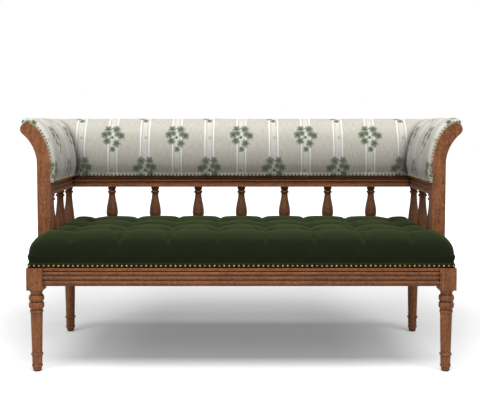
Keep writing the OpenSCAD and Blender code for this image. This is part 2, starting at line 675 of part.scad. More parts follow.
nail_in = 4.7;
nail_z = pad_low_z + nail_d / 2 + 2;
arm_nail_path = concat([[inner_u(nail_z) - nail_in, nail_z]], inner_curve(nail_in, curve_start),
    nose_arc(nose_start, cloth_end + 25, nose_r + nail_in, 8));
arm_nail_run = run(arm_nail_path);
arm_nail_count = floor(arm_nail_run[len(arm_nail_run) - 1] / arm_nail_pitch);

module arm_nail_set() {
    for (i = [0:arm_nail_count]) let (p = place(arm_nail_path, arm_nail_run, i * arm_nail_pitch))
        translate([leg_x + p[0], post_y, p[1]]) rotate([90, 0, 0]) nail(nail_d);
    for (y = [post_y + back_nail_pitch / 2 : back_nail_pitch : rear_y - post_half - pad_low_t - nail_d])
        translate([leg_x - post_half - pad_low_t, y, nail_z]) rotate([0, -90, 0]) nail(nail_d);
}
module arm_nails() color(BRASS) { arm_nail_set(); left() arm_nail_set(); }

back_nail_half = floor((leg_x - post_half - pad_low_t - nail_d) / back_nail_pitch);
module back_nails() color(BRASS) for (i = [-back_nail_half:back_nail_half])
    translate([i * back_nail_pitch, rear_y - post_half - pad_low_t, nail_z])
        rotate([90, 0, 0]) nail(nail_d);

seat_nail_z = rail_top_z + tack_band_h / 2 + 0.5;
// The front row runs from corner to corner of the band, with its spacing eased to fit
nail_margin = 2.3;
seat_nail_end = seat_x + band_out - seat_nail_d / 2 - nail_margin;
seat_nail_gaps = round(2 * seat_nail_end / seat_nail_pitch);
module seat_nails() color(BRASS) {
    for (i = [0:seat_nail_gaps])
        translate([(2 * i / seat_nail_gaps - 1) * seat_nail_end, seat_front - band_out, seat_nail_z])
            rotate([90, 0, 0]) nail(seat_nail_d);
    for (y = [seat_front + seat_nail_d : seat_nail_pitch : seat_notch - seat_nail_d / 2]) {
        translate([seat_x + band_out, y, seat_nail_z]) rotate([0, 90, 0]) nail(seat_nail_d);
        left() translate([seat_x + band_out, y, seat_nail_z]) rotate([0, 90, 0]) nail(seat_nail_d);
    }
}

// Seat cushion

// The T-shaped plan, drawn in from the cushion's side by an amount
function seat_plan(in) = [[-seat_x + in, seat_front + in], [seat_x - in, seat_front + in],
    [seat_x - in, seat_notch - in], [seat_in_x - in, seat_notch - in],
    [seat_in_x - in, seat_rear - in], [-seat_in_x + in, seat_rear - in],
    [-seat_in_x + in, seat_notch - in], [-seat_x + in, seat_notch - in]];

module batten(x0, x1, y0, y1) translate([x0, y0, rail_top_z]) cube([x1 - x0, y1 - y0, batten_h]);

batten_x = seat_x - frame_in;
batten_in_x = seat_in_x - frame_in;
batten_front = seat_front + frame_in;
batten_rear = seat_rear - frame_in;
module seat_front_batten() color(PLAIN_WOOD)
    batten(-batten_x, batten_x, batten_front, batten_front + batten_w);
module seat_rear_batten() color(PLAIN_WOOD)
    batten(-batten_in_x, batten_in_x, batten_rear - batten_w, batten_rear);
module seat_side_batten()
    batten(batten_in_x - batten_w, batten_in_x, batten_front + batten_w, batten_rear - batten_w);
module seat_side_battens() color(PLAIN_WOOD) { seat_side_batten(); left() seat_side_batten(); }
module seat_ear_block() batten(batten_in_x, batten_x, batten_front + batten_w, seat_notch - frame_in);
module seat_ear_blocks() color(PLAIN_WOOD) { seat_ear_block(); left() seat_ear_block(); }

web_step = 8;
web_end = batten_w - web_step;
web_cols = 9;
web_rows = 3;
web_col_pitch = 2 * (batten_in_x - batten_w) / web_cols;
web_row_pitch = (batten_rear - batten_front - 2 * batten_w) / web_rows;
// Straps from front to back lie flat. Those from side to side step up over them.
module seat_webbing() color(HESSIAN) {
    for (i = [0:web_cols - 1])
        translate([(i - (web_cols - 1) / 2) * web_col_pitch - web_w / 2, batten_front + web_step, batten_top])
            cube([web_w, batten_rear - batten_front - 2 * web_step, web_t]);
    for (j = [0:web_rows - 1])
        translate([0, batten_front + batten_w + (j + 0.5) * web_row_pitch + web_w / 2, batten_top])
            rotate([90, 0, 0]) linear_extrude(web_w) polygon(web_side);
}
web_half = batten_in_x - web_step;
web_side = [[-web_half, 0], [-web_half + web_end - web_step, 0], [-web_half + web_end, web_t + strap_gap],
    [web_half - web_end, web_t + strap_gap], [web_half - web_end + web_step, 0], [web_half, 0],
    [web_half, web_t], [web_half - web_end + web_step, web_t], [web_half - web_end, 2 * web_t + strap_gap],
    [-web_half + web_end, 2 * web_t + strap_gap], [-web_half + web_end - web_step, web_t],
    [-web_half, web_t]];

module seat_hessian() color(HESSIAN) translate([0, 0, foam_z - hessian_t])
    linear_extrude(hessian_t) polygon(seat_plan(frame_in + soft_gap));
module seat_foam() color(FOAM) translate([0, 0, foam_z])
    linear_extrude(foam_t) polygon(seat_plan(frame_in + soft_gap));

// Lines of the cushion's grid: its edges, the edges of its roll, and quarters of the tuft spacing
edge_step = 16;
function sorted(v) = len(v) < 2 ? v : let (p = v[0])
    concat(sorted([for (a = v) if (a < p) a]), [p], sorted([for (a = v) if (a > p) a]));
function clear_of(v, must) = [for (a = v) if (a > min(must) && a < max(must)
    && min([for (m = must) abs(a - m)]) > 5) a];
must_x = [-seat_x, -seat_in_x, seat_in_x, seat_x];
must_y = [seat_front, seat_notch, seat_rear];
tuft_x0 = -(TUFTS_X - 1) / 2 * tuft_pitch_x;
tuft_y0 = front_y + tuft_back;
quarters = 2 * TUFTS_X - 1;
grid_x = sorted(concat(must_x, [-seat_x + edge_step, seat_x - edge_step,
    -seat_in_x + edge_step, seat_in_x - edge_step],
    [for (i = [-quarters:quarters]) if (abs(i * tuft_pitch_x / 4) < seat_in_x - 2 * edge_step)
        i * tuft_pitch_x / 4]));
grid_y = sorted(concat(must_y, clear_of(concat([seat_front + edge_step, seat_rear - edge_step],
    [for (i = [-2:4 * TUFTS_Y - 2]) let (y = tuft_y0 + i * tuft_pitch_y / 4)
        if (y > seat_front + 1.5 * edge_step && y < seat_rear - 1.5 * edge_step) y]), must_y)));
nx = len(grid_x);
ny = len(grid_y);

// Distance in from the nearest swollen edge of the T, as a share of that edge's roll
function edge_share(x, y) = let (in_x = seat_in_x + side_swell - abs(x), in_y = seat_notch + side_swell - y)
    min((y - seat_front + side_swell) / front_roll_w, (seat_rear + side_swell - y) / held_roll_w,
        (seat_x + side_swell - abs(x)) / seat_roll_w,
        (in_x < 0 ? in_y : in_y < 0 ? in_x : norm([in_x, in_y])) / held_roll_w);
// A pillow's profile between two lines. Raising the sine to a power below 1 flattens its top.
pillow_power = 0.8;
function wave(d, pitch, last) = d < -pitch / 2 || d > last + pitch / 2 ? 1
    : pow(abs(sin(180 * d / pitch)), pillow_power);
last_tuft_x = (TUFTS_X - 1) * tuft_pitch_x;
last_tuft_y = (TUFTS_Y - 1) * tuft_pitch_y;
function line_left(past, pitch) = 1 - line_fade * min(1, max(0, 2 * past / pitch));
function tuft_drop(x, y) = let (
    sx = wave(x - tuft_x0, tuft_pitch_x, last_tuft_x),
    sy = wave(y - tuft_y0, tuft_pitch_y, last_tuft_y),
    left = line_left(abs(x) - last_tuft_x / 2, tuft_pitch_x)
        * line_left(y - tuft_y0 - last_tuft_y, tuft_pitch_y))
    tuft_dip * (1 - sx) * (1 - sy) + line_dip * (1 - sx * sy) * left;
function seat_z(x, y) = let (g = min(1, max(0, edge_share(x, y))),
    rise = sqrt(1 - (1 - g) * (1 - g)))
    side_top_z + (seat_top_z - side_top_z - tuft_drop(x, y)) * rise;

// Which way the nearest edge faces at a point on the edge of the T
function faces_x(x, y) = abs(x) >= seat_x - 0.01 || (abs(x) >= seat_in_x - 0.01 && y >= seat_notch - 0.01)
    ? sign(x) : 0;
function faces_y(x, y) = y <= seat_front + 0.01 ? -1
    : y >= seat_rear - 0.01 || (y >= seat_notch - 0.01 && abs(x) >= seat_in_x - 0.01
        && y <= seat_notch + 0.01) ? 1 : 0;
function in_seat(i, j) = (grid_x[i] + 1 > -seat_in_x && grid_x[i] + 1 < seat_in_x)
    || grid_y[j] + 1 < seat_notch;

// The edge of the T as grid places, running anticlockwise as seen from above
function index_of(v, a) = [for (i = [0:len(v) - 1]) if (abs(v[i] - a) < 0.01) i][0];
notch_j = index_of(grid_y, seat_notch);
left_i = index_of(grid_x, -seat_in_x);
right_i = index_of(grid_x, seat_in_x);
seat_loop = concat(
    [for (i = [0:nx - 2]) [i, 0]],
    [for (j = [0:notch_j - 1]) [nx - 1, j]],
    [for (i = [nx - 1:-1:right_i + 1]) [i, notch_j]],
    [for (j = [notch_j:ny - 2]) [right_i, j]],
    [for (i = [right_i:-1:left_i + 1]) [i, ny - 1]],
    [for (j = [ny - 1:-1:notch_j + 1]) [left_i, j]],
    [for (i = [left_i:-1:1]) [i, notch_j]],
    [for (j = [notch_j:-1:1]) [0, j]]);
nloop = len(seat_loop);

// Rings below the top: the drawn-in line, the nailed band, its lower edge, and the hollow inside
rings = [[rail_top_z + tack_band_h + 6, -drawn_in], [rail_top_z + tack_band_h, band_out],
    [rail_top_z, band_out], [rail_top_z, -frame_in], [foam_top, -frame_in]];
function pushed(x, y, out) = [x + out * faces_x(x, y), y + out * faces_y(x, y)];
seat_points = concat(
    [for (y = grid_y, x = grid_x) let (p = pushed(x, y, side_swell)) [p[0], p[1], seat_z(p[0], p[1])]],
    [for (r = rings, p = seat_loop) concat(pushed(grid_x[p[0]], grid_y[p[1]], r[1]), [r[0]])],
    [[0, (seat_front + seat_notch) / 2, foam_top]]);
function at(i, j) = j * nx + i;
// Point m of ring k, where ring 0 is the edge of the top itself
function on_ring(k, m) = let (w = m % nloop)
    k == 0 ? at(seat_loop[w][0], seat_loop[w][1]) : nx * ny + (k - 1) * nloop + w;
seat_faces = concat(
    [for (j = [0:ny - 2], i = [0:nx - 2]) if (in_seat(i, j)) for (f = [
        [at(i, j), at(i, j + 1), at(i + 1, j + 1)],
        [at(i, j), at(i + 1, j + 1), at(i + 1, j)]]) f],
    [for (k = [0:len(rings) - 1], m = [0:nloop - 1], f = [
        [on_ring(k, m), on_ring(k, m + 1), on_ring(k + 1, m + 1)],
        [on_ring(k, m), on_ring(k + 1, m + 1), on_ring(k + 1, m)]]) f],
    [for (m = [0:nloop - 1]) [on_ring(len(rings), m), on_ring(len(rings), m + 1), len(seat_points) - 1]]);

module seat_cover() color(VELVET) polyhedron(seat_points, seat_faces);

button_r = button_d / 2;
button_slope = 0.6;
tuft_z = seat_top_z - tuft_dip - line_dip + soft_gap;
button_dome_h = 4;
// A button's back is a cone that fits its tuft, and its front is a low dome.
module seat_buttons() color(VELVET) for (i = [0:TUFTS_X - 1], j = [0:TUFTS_Y - 1])
    translate([tuft_x0 + i * tuft_pitch_x, tuft_y0 + j * tuft_pitch_y, tuft_z]) {
        cylinder(r1 = 0.5, r2 = button_r, h = button_slope * button_r);
        translate([0, 0, button_slope * button_r]) dome(button_d, button_dome_h);
    }

module dust_cover() color(BLACK) translate([0, mid_y, seat_rail_z - 0.8]) linear_extrude(0.8)
    difference() {
        square([2 * (leg_x + rail_out - 10), leg_span_y + 2 * (rail_out - 10)], center = true);
        for (x = [-1, 1], y = [-1, 1]) translate([x * leg_x, y * leg_span_y / 2])
            square(block_w + 2, center = true);
    }

at_leg(true, false) leg(false);  // front_left_leg
at_leg(false, false) leg(false);  // front_right_leg
at_leg(true, true) leg(true);  // rear_left_leg
at_leg(false, true) leg(true);  // rear_right_leg
leg_glides();
front_seat_rail();
rear_seat_rail();
left() side_seat_rail();  // left_seat_rail
side_seat_rail();  // right_seat_rail
cross_bearer();
side_ledgers();
rear_ledger();
ledger_screws();
corner_blocks();
corner_screws();
left() arm_post();  // left_arm_post
arm_post();  // right_arm_post
back_rail();
left() arm_rail();  // left_arm_rail
arm_rail();  // right_arm_rail
back_baluster(1);  // back_baluster_1
back_baluster(2);  // back_baluster_2
back_baluster(3);  // back_baluster_3
back_baluster(4);  // back_baluster_4
back_baluster(5);  // back_baluster_5
back_baluster(6);  // back_baluster_6
back_baluster(7);  // back_baluster_7
back_baluster(8);  // back_baluster_8
back_baluster(9);  // back_baluster_9
left() arm_balusters();  // left_arm_balusters
arm_balusters();  // right_arm_balusters
back_top_rail();
arm_top_rails();
back_ribs();
arm_ribs();
back_skin();
arm_skins();
back_foam();
arm_foams();
back_cover();
left() arm_cover();  // left_arm_cover
arm_cover();  // right_arm_cover
back_outside();
left() arm_outside();  // left_arm_outside
arm_outside();  // right_arm_outside
back_nails();
arm_nails();
seat_front_batten();
seat_rear_batten();
seat_side_battens();
seat_ear_blocks();
seat_webbing();
seat_hessian();
seat_foam();
seat_cover();
seat_buttons();
seat_nails();
dust_cover();
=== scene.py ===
# %% [markdown]
# # A bench with a rolled back and a tufted seat
#
# The wooden frame of this bench comes ready from its construction drawing, piece by piece.
# Everything soft on it is made here: the tufted seat, the padded back and arms, the cloth
# behind them and the layers that nobody sees. After that each material gets its look.
# Lengths in the drawing are in millimetres, so this lesson thinks in millimetres too, and
# turns them into metres at the moment when a mesh is made.

import json
import math

import bmesh
import bpy
import numpy as np
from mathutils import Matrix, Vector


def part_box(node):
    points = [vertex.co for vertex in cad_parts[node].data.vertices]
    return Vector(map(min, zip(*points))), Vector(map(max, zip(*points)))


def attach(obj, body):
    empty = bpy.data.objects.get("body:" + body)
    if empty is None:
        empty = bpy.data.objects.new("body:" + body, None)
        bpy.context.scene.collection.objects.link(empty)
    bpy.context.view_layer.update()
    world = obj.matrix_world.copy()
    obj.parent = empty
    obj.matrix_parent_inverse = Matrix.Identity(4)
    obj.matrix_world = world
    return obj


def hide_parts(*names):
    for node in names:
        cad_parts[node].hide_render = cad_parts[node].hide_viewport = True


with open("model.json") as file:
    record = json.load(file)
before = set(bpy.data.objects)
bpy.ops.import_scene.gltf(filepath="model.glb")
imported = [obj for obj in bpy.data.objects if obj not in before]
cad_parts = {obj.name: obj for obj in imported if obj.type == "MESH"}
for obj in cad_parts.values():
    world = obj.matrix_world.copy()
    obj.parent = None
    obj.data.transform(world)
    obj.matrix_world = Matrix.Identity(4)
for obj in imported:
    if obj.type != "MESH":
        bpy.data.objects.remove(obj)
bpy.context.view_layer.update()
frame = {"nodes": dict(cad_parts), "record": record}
cad = frame["nodes"]

# %% [markdown]
# ## Short ways to write shader nodes
#
# A material is a small network, and writing out each node and link makes a long and dull file.
# So what comes out of a node is kept as a Value here, and a sum of Values makes its own Math
# nodes: `mottle * 0.14 + 0.44` is two of them. A node group is an effect that several materials
# share, such as the figure of the wood, and each gives it values of its own. Both groups and
# materials are written as functions that return what goes into the last node.

# %% Helpers for nodes
class Value:
    """What comes out of a node. Sums written with it become Math nodes of its network."""

    def __init__(self, socket):
        self.socket, self.tree = socket, socket.id_data

    def math(self, operation, *others, clamp=False):
        return get(self.tree, "Math", enumerate((self, *others)), operation=operation, use_clamp=clamp)

    def __add__(self, other):
        return self.math("ADD", other)

    def __sub__(self, other):
        return self.math("SUBTRACT", other)

    def __mul__(self, other):
        return self.math("MULTIPLY", other)

    def __truediv__(self, other):
        return self.math("DIVIDE", other)

    def __abs__(self):
        return self.math("ABSOLUTE")


def fill(node, inputs):
    """Links or sets the inputs of a node, by name or number."""
    for key, given in dict(inputs).items():
        if isinstance(given, Value):
            given.tree.links.new(given.socket, node.inputs[key])
        else:
            node.inputs[key].default_value = given


def add(tree, kind, inputs=(), **settings):
    """A shader node with its settings and inputs."""
    node = tree.nodes.new("ShaderNode" + kind)
    for name, setting in settings.items():
        setattr(node, name, setting)
    fill(node, inputs)
    return node


def get(tree, kind, inputs=(), output=0, **settings):
    """One output of a new node."""
    return Value(add(tree, kind, inputs, **settings).outputs[output])


def vector(operation, first, *others):
    return get(first.tree, "VectorMath", enumerate((first, *others)), operation=operation)


def split(place):
    """The X, Y and Z of a vector."""
    return [Value(socket) for socket in add(place.tree, "SeparateXYZ", {0: place}).outputs]


def blend(how_much, first, second):
    """One colour mixed with another."""
    return get(how_much.tree, "Mix", {0: how_much, 6: first, 7: second}, 2, data_type="RGBA")


def step(value, low, high, smooth=True):
    """0 below low and 1 above high, and the other way round where low is above high."""
    return get(value.tree, "MapRange", {"Value": value, "From Min": low, "From Max": high},
               interpolation_type="SMOOTHSTEP" if smooth else "LINEAR")


def noise(where, scale, detail=3.0, roughness=0.55, distortion=0.0):
    return get(where.tree, "TexNoise", {"Vector": where, "Scale": scale, "Detail": detail,
                                        "Roughness": roughness, "Distortion": distortion})


def here(tree):
    """Where a point of the surface is, in metres, in the frame of the bench."""
    return get(tree, "TexCoord", output="Object")


def openness(tree, distance, samples=6):
    """1 on open surfaces, and less in hollows and nooks within a distance in metres."""
    return get(tree, "AmbientOcclusion", {"Distance": distance}, "AO", samples=samples)


def bump(height, distance, strength, **normal):
    """The normal of a surface that a height in the range 0 to 1 raises by a distance in metres."""
    return get(height.tree, "Bump", {"Height": height, "Distance": distance, "Strength": strength, **normal})


def group(name, inputs, outputs):
    """Makes a node group of a function. The function gives the group's outputs by name."""
    def build(drawn):
        tree = bpy.data.node_groups.new(name, "ShaderNodeTree")
        for way, kinds in (("INPUT", inputs), ("OUTPUT", outputs)):
            for kind, words in kinds.items():
                for word in words:
                    tree.interface.new_socket(name=word, in_out=way, socket_type="NodeSocket" + kind)
        given = tree.nodes.new("NodeGroupInput").outputs
        result = tree.nodes.new("NodeGroupOutput")
        fill(result, drawn(tree, *[Value(socket) for socket in given if socket.name]))
        return tree
    return build


def use(tree, placed, inputs):
    """A group placed in a material or in another group. Its outputs go by name."""
    return {socket.name: Value(socket) for socket in add(tree, "Group", inputs, node_tree=placed).outputs}


def material(name, constants):
    """Makes a material of a function that gives the shader's inputs. What is the same all over
    the surface goes in constants."""
    def build(drawn):
        made = bpy.data.materials.new(name)
        made.use_nodes = True
        shader = made.node_tree.nodes["Principled BSDF"]
        fill(shader, {**constants, **drawn(made.node_tree)})
        return made
    return build


def srgb(red, green, blue):
    """A colour as a picture program gives it, 0 to 255, turned into the linear one of a shader."""
    linear = [(c / 255 / 12.92) if c < 10.4 else ((c / 255 + 0.055) / 1.055) ** 2.4
              for c in (red, green, blue)]
    return (*linear, 1.0)


print("node helpers are ready")

# %% [markdown]
# ## Wood
#
# The visible wood is a mid-brown hardwood under a satin stain. Close up it has three things:
# a broad figure of lighter and darker streaks along the grain, short dark pores, and a fine
# mottle where the stain took unevenly. Stain also gathers in grooves and beads, and rubs thin
# on edges. The darkening in hollows is partly that stain and partly painted shade: within 11 mm
# it darkens every hollow and every place where parts meet, as shade would. A painted picture
# of wood would need its own layout on each piece. Noise in space needs none, and it runs
# through a turned leg as grain does through a real one. The noise is stretched along the
# grain, so each direction of grain is a material of its own, and the figure is one group that
# they share.

# %% The figure of the wood
@group("wood figure", {"Vector": ["Stretch"], "Color": ["Light", "Dark", "Groove"]},
       {"Color": ["Colour"], "Float": ["Roughness", "Height"], "Vector": ["Soft edge"]})
def WOOD_FIGURE(tree, stretch, light, dark, groove):
    place = here(tree)
    along = vector("MULTIPLY", place, stretch)
    less_along = vector("MULTIPLY", place, vector("MULTIPLY_ADD", stretch, (0.6, 0.6, 0.6), (0.4, 0.4, 0.4)))
    broad = noise(along, 16.0, 4.0, 0.6, 1.4)
    streaks = noise(along, 130.0, 3.0, 0.6, 0.3)
    mottle = noise(place, 95.0, 4.0, 0.7)
    flecks = noise(less_along, 260.0, 2.0, 0.75)
    pores = step(noise(along, 620.0, 2.0, 0.5), 0.60, 0.72)
    figure = (step(broad, 0.34, 0.66) * 0.26 + step(streaks, 0.36, 0.64) * 0.20
              + step(mottle, 0.38, 0.62) * 0.24 + step(flecks, 0.40, 0.60) * 0.30)
    colour = blend(pores * 0.45, blend(figure, dark, light), groove)
    # Partly stain gathered in grooves, partly painted shade: within 11 mm every hollow and every place where
    # parts meet turns towards the groove colour.
    colour = blend(step(openness(tree, 0.011), 0.93, 0.38), colour, groove)
    soft = get(tree, "Bevel", {"Radius": 0.0012}, samples=4)
    agree = get(tree, "VectorMath", {0: soft, 1: get(tree, "NewGeometry", output="Normal")}, "Value",
                operation="DOT_PRODUCT")
    worn = step(agree, 0.985, 0.90) * step(mottle, 0.40, 0.60)
    return {"Colour": blend(worn * 0.35, colour, light), "Roughness": mottle * 0.14 + 0.44 + pores * 0.12,
            "Height": streaks - pores * 0.5, "Soft edge": soft}


def wood(name, stretch, light, dark, groove, polished=True):
    """Stained and lacquered wood, or the plain wood and ply of the hidden frame."""
    polish = {"Specular IOR Level": 0.20, "Coat Weight": 0.03, "Coat Roughness": 0.35}

    @material(name, polish if polished else {"Specular IOR Level": 0.25})
    def made(tree):
        look = use(tree, WOOD_FIGURE, {"Stretch": stretch, "Light": light, "Dark": dark, "Groove": groove})
        if polished:
            rough, relief = look["Roughness"], bump(look["Height"], 0.00035, 0.6, Normal=look["Soft edge"])
        else:
            rough, relief = look["Roughness"].math("ADD", 0.25, clamp=True), bump(look["Height"], 0.0006, 0.7)
        return {"Base Color": look["Colour"], "Roughness": rough, "Normal": relief}
    return made


ALONG_GRAIN = 0.11
UPRIGHT, ACROSS, FRONT_TO_BACK = (1.0, 1.0, ALONG_GRAIN), (ALONG_GRAIN, 1.0, 1.0), (1.0, ALONG_GRAIN, 1.0)
STAIN, RAIL_GROOVE, BARE_GROOVE = (srgb(163, 104, 64), srgb(80, 46, 27)), srgb(60, 36, 20), srgb(120, 88, 56)
WOOD_UPRIGHT = wood("brown wood, grain upright", UPRIGHT, *STAIN, srgb(34, 19, 10))
WOOD_ACROSS = wood("brown wood, grain across", ACROSS, *STAIN, RAIL_GROOVE)
WOOD_ALONG = wood("brown wood, grain front to back", FRONT_TO_BACK, *STAIN, RAIL_GROOVE)
# The balusters wear a darker copy of the stain: painted shade for turned pieces that stand in the shade under
# the rails.
SHADED_BALUSTER_WOOD = wood("brown wood, balusters in painted shade", UPRIGHT, srgb(126, 80, 50), srgb(62, 37, 22),
                   srgb(30, 17, 9))
FRAME_WOOD = wood("plain frame wood", ACROSS, srgb(222, 190, 146), srgb(188, 150, 104), BARE_GROOVE, False)
PLYWOOD = wood("thin plywood", (1.0, 1.0, 0.3), srgb(228, 204, 164), srgb(200, 170, 126), BARE_GROOVE, False)
print("wood materials:", [m.name for m in (WOOD_UPRIGHT, WOOD_ACROSS, WOOD_ALONG, FRAME_WOOD, PLYWOOD)])

# %% [markdown]
# ## Brass, steel and nylon
#
# The nail heads are antique brass: a warm metal whose lacquer has gone dull in patches. A ring
# of painted shade darkens each head where it meets the cloth, and the nails of the back wear a
# darker copy of the brass, painted shade for nails that sit in the shade at the foot of the back.
# A tarnish group gives the patchy mask that all the metals use. The glides under the feet are
# plain black nylon with a fine grain.

# %% Metals and nylon
@group("tarnish", {"Float": ["Scale"]}, {"Float": ["Mask", "Fine"]})
def TARNISH(tree, scale):
    place = here(tree)
    return {"Mask": step(noise(place, scale, 4.0, 0.6, 0.5), 0.38, 0.66),
            "Fine": noise(place, scale * 9.0, 2.0)}


def metal(name, bright, dull, rim_shade, smooth, rough, scale=180.0):
    @material(name, {"Metallic": 1.0})
    def made(tree):
        worn = use(tree, TARNISH, {"Scale": scale})
        # Painted shade: within 4 mm of what a head sits on, its colour turns to the dark rim colour.
        colour = blend(step(openness(tree, 0.004), 0.85, 0.45), blend(worn["Mask"], bright, dull), rim_shade)
        return {"Base Color": colour, "Roughness": worn["Mask"] * (rough - smooth) + smooth,
                "Normal": bump(worn["Fine"], 0.0002, 0.5)}
    return made


BRASS = metal("antique brass", srgb(178, 144, 74), srgb(120, 92, 42), srgb(46, 32, 14), 0.30, 0.52)
# The back's nails: a darker copy of the brass, painted shade for the nails at the foot of the back.
SHADED_BRASS = metal("brass in painted shade", srgb(74, 55, 20), srgb(36, 26, 10), srgb(12, 8, 4), 0.34, 0.55)
STEEL = metal("zinc-plated steel", srgb(186, 188, 192), srgb(140, 142, 148), srgb(70, 70, 72),
              0.30, 0.50, 260.0)


@material("black nylon", {"Specular IOR Level": 0.4})
def NYLON(tree):
    grain = noise(here(tree), 900.0)
    return {"Base Color": blend(grain, srgb(24, 24, 25), srgb(44, 44, 45)),
            "Roughness": step(grain, -0.6, 1.6, smooth=False), "Normal": bump(grain, 0.0002, 0.5)}


print("metals:", BRASS.name, SHADED_BRASS.name, STEEL.name, "and", NYLON.name)

# %% [markdown]
# ## Cloth
#
# Two woven cloths show on this bench. The back and arms wear a printed one: a greige ground
# with hair-fine vertical lines, pairs of white stripes, and leaf sprigs on the stripes. This is
# the old stripe-and-sprig layout, where each second stripe carries its sprigs half a repeat
# lower. The other is velvet. A print could be a picture wrapped on the mesh, but a picture has
# a fixed sharpness. Here the pattern is drawn by sums instead. Each cloth mesh carries a flat
# map in metres, which says how far along and how far up the cloth a point lies, so the print
# bends with the roll as it does on the real bench.

# %% Weave
@group("weave", {"Vector": ["Cloth place"], "Float": ["Thread"]}, {"Float": ["Height", "Thread tone"]})
def WEAVE(tree, place, thread):
    """Threads over and under, from places on the cloth in metres."""
    warp, weft = [(along / thread * math.pi).math("SINE") for along in split(place)[:2]]
    drawn = vector("MULTIPLY", place, (1.0, 0.035, 1.0))
    return {"Height": warp * weft * 0.5 + 0.5, "Thread tone": noise(drawn, 900.0, 3.0, 0.7)}


print("made the group", WEAVE.name)

# %% Stripes
STRIPE_PITCH, STRIPE_AT, STRIPE_HALF, BAND_HALF = 0.120, 0.0158, 0.0024, 0.0085


@group("stripes", {"Vector": ["Cloth place"]}, {"Float": ["White", "Band", "Across", "Odd"]})
def STRIPES(tree, place):
    """White stripes, the pale band between them, and where a place lies across its stripe group."""
    count = split(place)[0] / STRIPE_PITCH
    whole = count.math("ROUND")
    across = (count - whole) * STRIPE_PITCH
    away = abs(across) + (noise(place, 700.0, 1.0) * 0.0012 - 0.0006)
    return {"White": step(abs(away - STRIPE_AT), STRIPE_HALF + 0.0005, STRIPE_HALF - 0.0005),
            "Band": step(away, BAND_HALF + 0.0015, BAND_HALF - 0.0015),
            "Across": across, "Odd": whole.math("FLOORED_MODULO", 2.0)}


print("stripe groups every", STRIPE_PITCH * 1000, "mm")

# %% [markdown]
# ### Leaf sprigs
#
# A sprig is a pale stem with tufts of small leaves beside it. One tuft is drawn in a group of
# its own: seen from its middle, the edge of the tuft comes and goes five times around, which
# gives five round lobes, and a noise makes them uneven. Towards the middle it is dark, veins
# run out along the lobes, and the rim is pale. The sprig places ten such tufts, each with its
# own size and turn, and some of them overlap. A small gold flower sits halfway between sprigs.

# %% One tuft of leaves
LOBES = 5


@group("leaf tuft", {"Vector": ["Place", "Middle"], "Float": ["Size", "Turn"]}, {"Float": ["Leaf", "Shade"]})
def LEAF_TUFT(tree, place, middle, size, turn):
    x, y, _ = split(vector("SUBTRACT", place, middle))
    far = (x * x + y * y).math("SQRT")
    lobe = abs(((y.math("ARCTAN2", x) + turn) * (LOBES / 2)).math("COSINE"))
    lobed = lobe.math("POWER", 0.5) * 0.28 + 0.72
    uneven = noise(place, 170.0) * 1.50 + 0.25
    near = far / (size * (lobed * uneven))
    vein = step(lobe, 0.86, 0.99) * step(near, 0.95, 0.55)
    shade = (vein * 0.75).math("MAXIMUM", step(near, 0.80, 0.20))
    speck = step(noise(place, 900.0, 1.0), 0.45, 0.62)
    return {"Leaf": step(near, 1.06, 0.88), "Shade": speck.math("MULTIPLY_ADD", 0.25, shade, clamp=True)}


print("made the group", LEAF_TUFT.name)

# %% The sprig
REPEAT, SPRIG_AT = 0.248, 0.140
# Each tuft's place across and up the sprig, its size and its turn
TUFTS = ((-0.018, 0.040, 0.0148, 0.2), (0.013, 0.038, 0.0172, 1.1), (-0.030, 0.015, 0.0164, 2.3),
         (-0.015, 0.021, 0.0132, 0.9), (0.031, 0.011, 0.0168, 1.9), (0.018, 0.017, 0.0132, 2.7),
         (-0.021, -0.010, 0.0156, 0.5), (0.015, -0.020, 0.0156, 1.4), (0.001, -0.042, 0.0118, 0.1),
         (-0.002, 0.004, 0.0070, 1.7))
FLOWER = (-0.004, 0.003, 0.0072, 0.4)


@group("sprig", {"Float": ["Across", "Up", "Odd"]}, {"Float": ["Leaves", "Shade", "Stem", "Flower"]})
def SPRIG(tree, across, up, odd):
    """Masks of leaves, their shade, the stem and a small gold flower, for a place on the cloth."""
    across = across * (odd * -2.0 + 1.0)

    def from_middle(count):
        """How far up from the middle of its repeat a place lies, and that place as a vector."""
        up = (count - count.math("ROUND")) * REPEAT
        return up, get(tree, "CombineXYZ", {0: across, 1: up})

    def tuft(place, x, y, size, turn):
        return use(tree, LEAF_TUFT, {"Place": place, "Middle": (x, y, 0.0), "Size": size, "Turn": turn})

    count = (up - (odd * (-REPEAT / 2) + SPRIG_AT)) / REPEAT
    up, place = from_middle(count)
    tufts = [tuft(place, *where) for where in TUFTS]
    leaves, shade = tufts[0]["Leaf"], tufts[0]["Leaf"] * tufts[0]["Shade"]
    for more in tufts[1:]:
        leaves = leaves.math("MAXIMUM", more["Leaf"])
        shade = shade.math("MAXIMUM", more["Leaf"] * more["Shade"])
    sway = (up * 70.0).math("SINE") * 0.0035
    stem = step(abs(across - sway), 0.0022, 0.0008) * step(abs(up), 0.050, 0.044)
    flower = tuft(from_middle(count + 0.5)[1], *FLOWER)
    return {"Leaves": leaves, "Shade": shade, "Stem": stem, "Flower": flower["Leaf"]}


print("sprigs every", REPEAT * 1000, "mm up the cloth, with", len(TUFTS), "tufts of leaves each")

# %% Printed cloth
CLOTH_MAP = "cloth map"


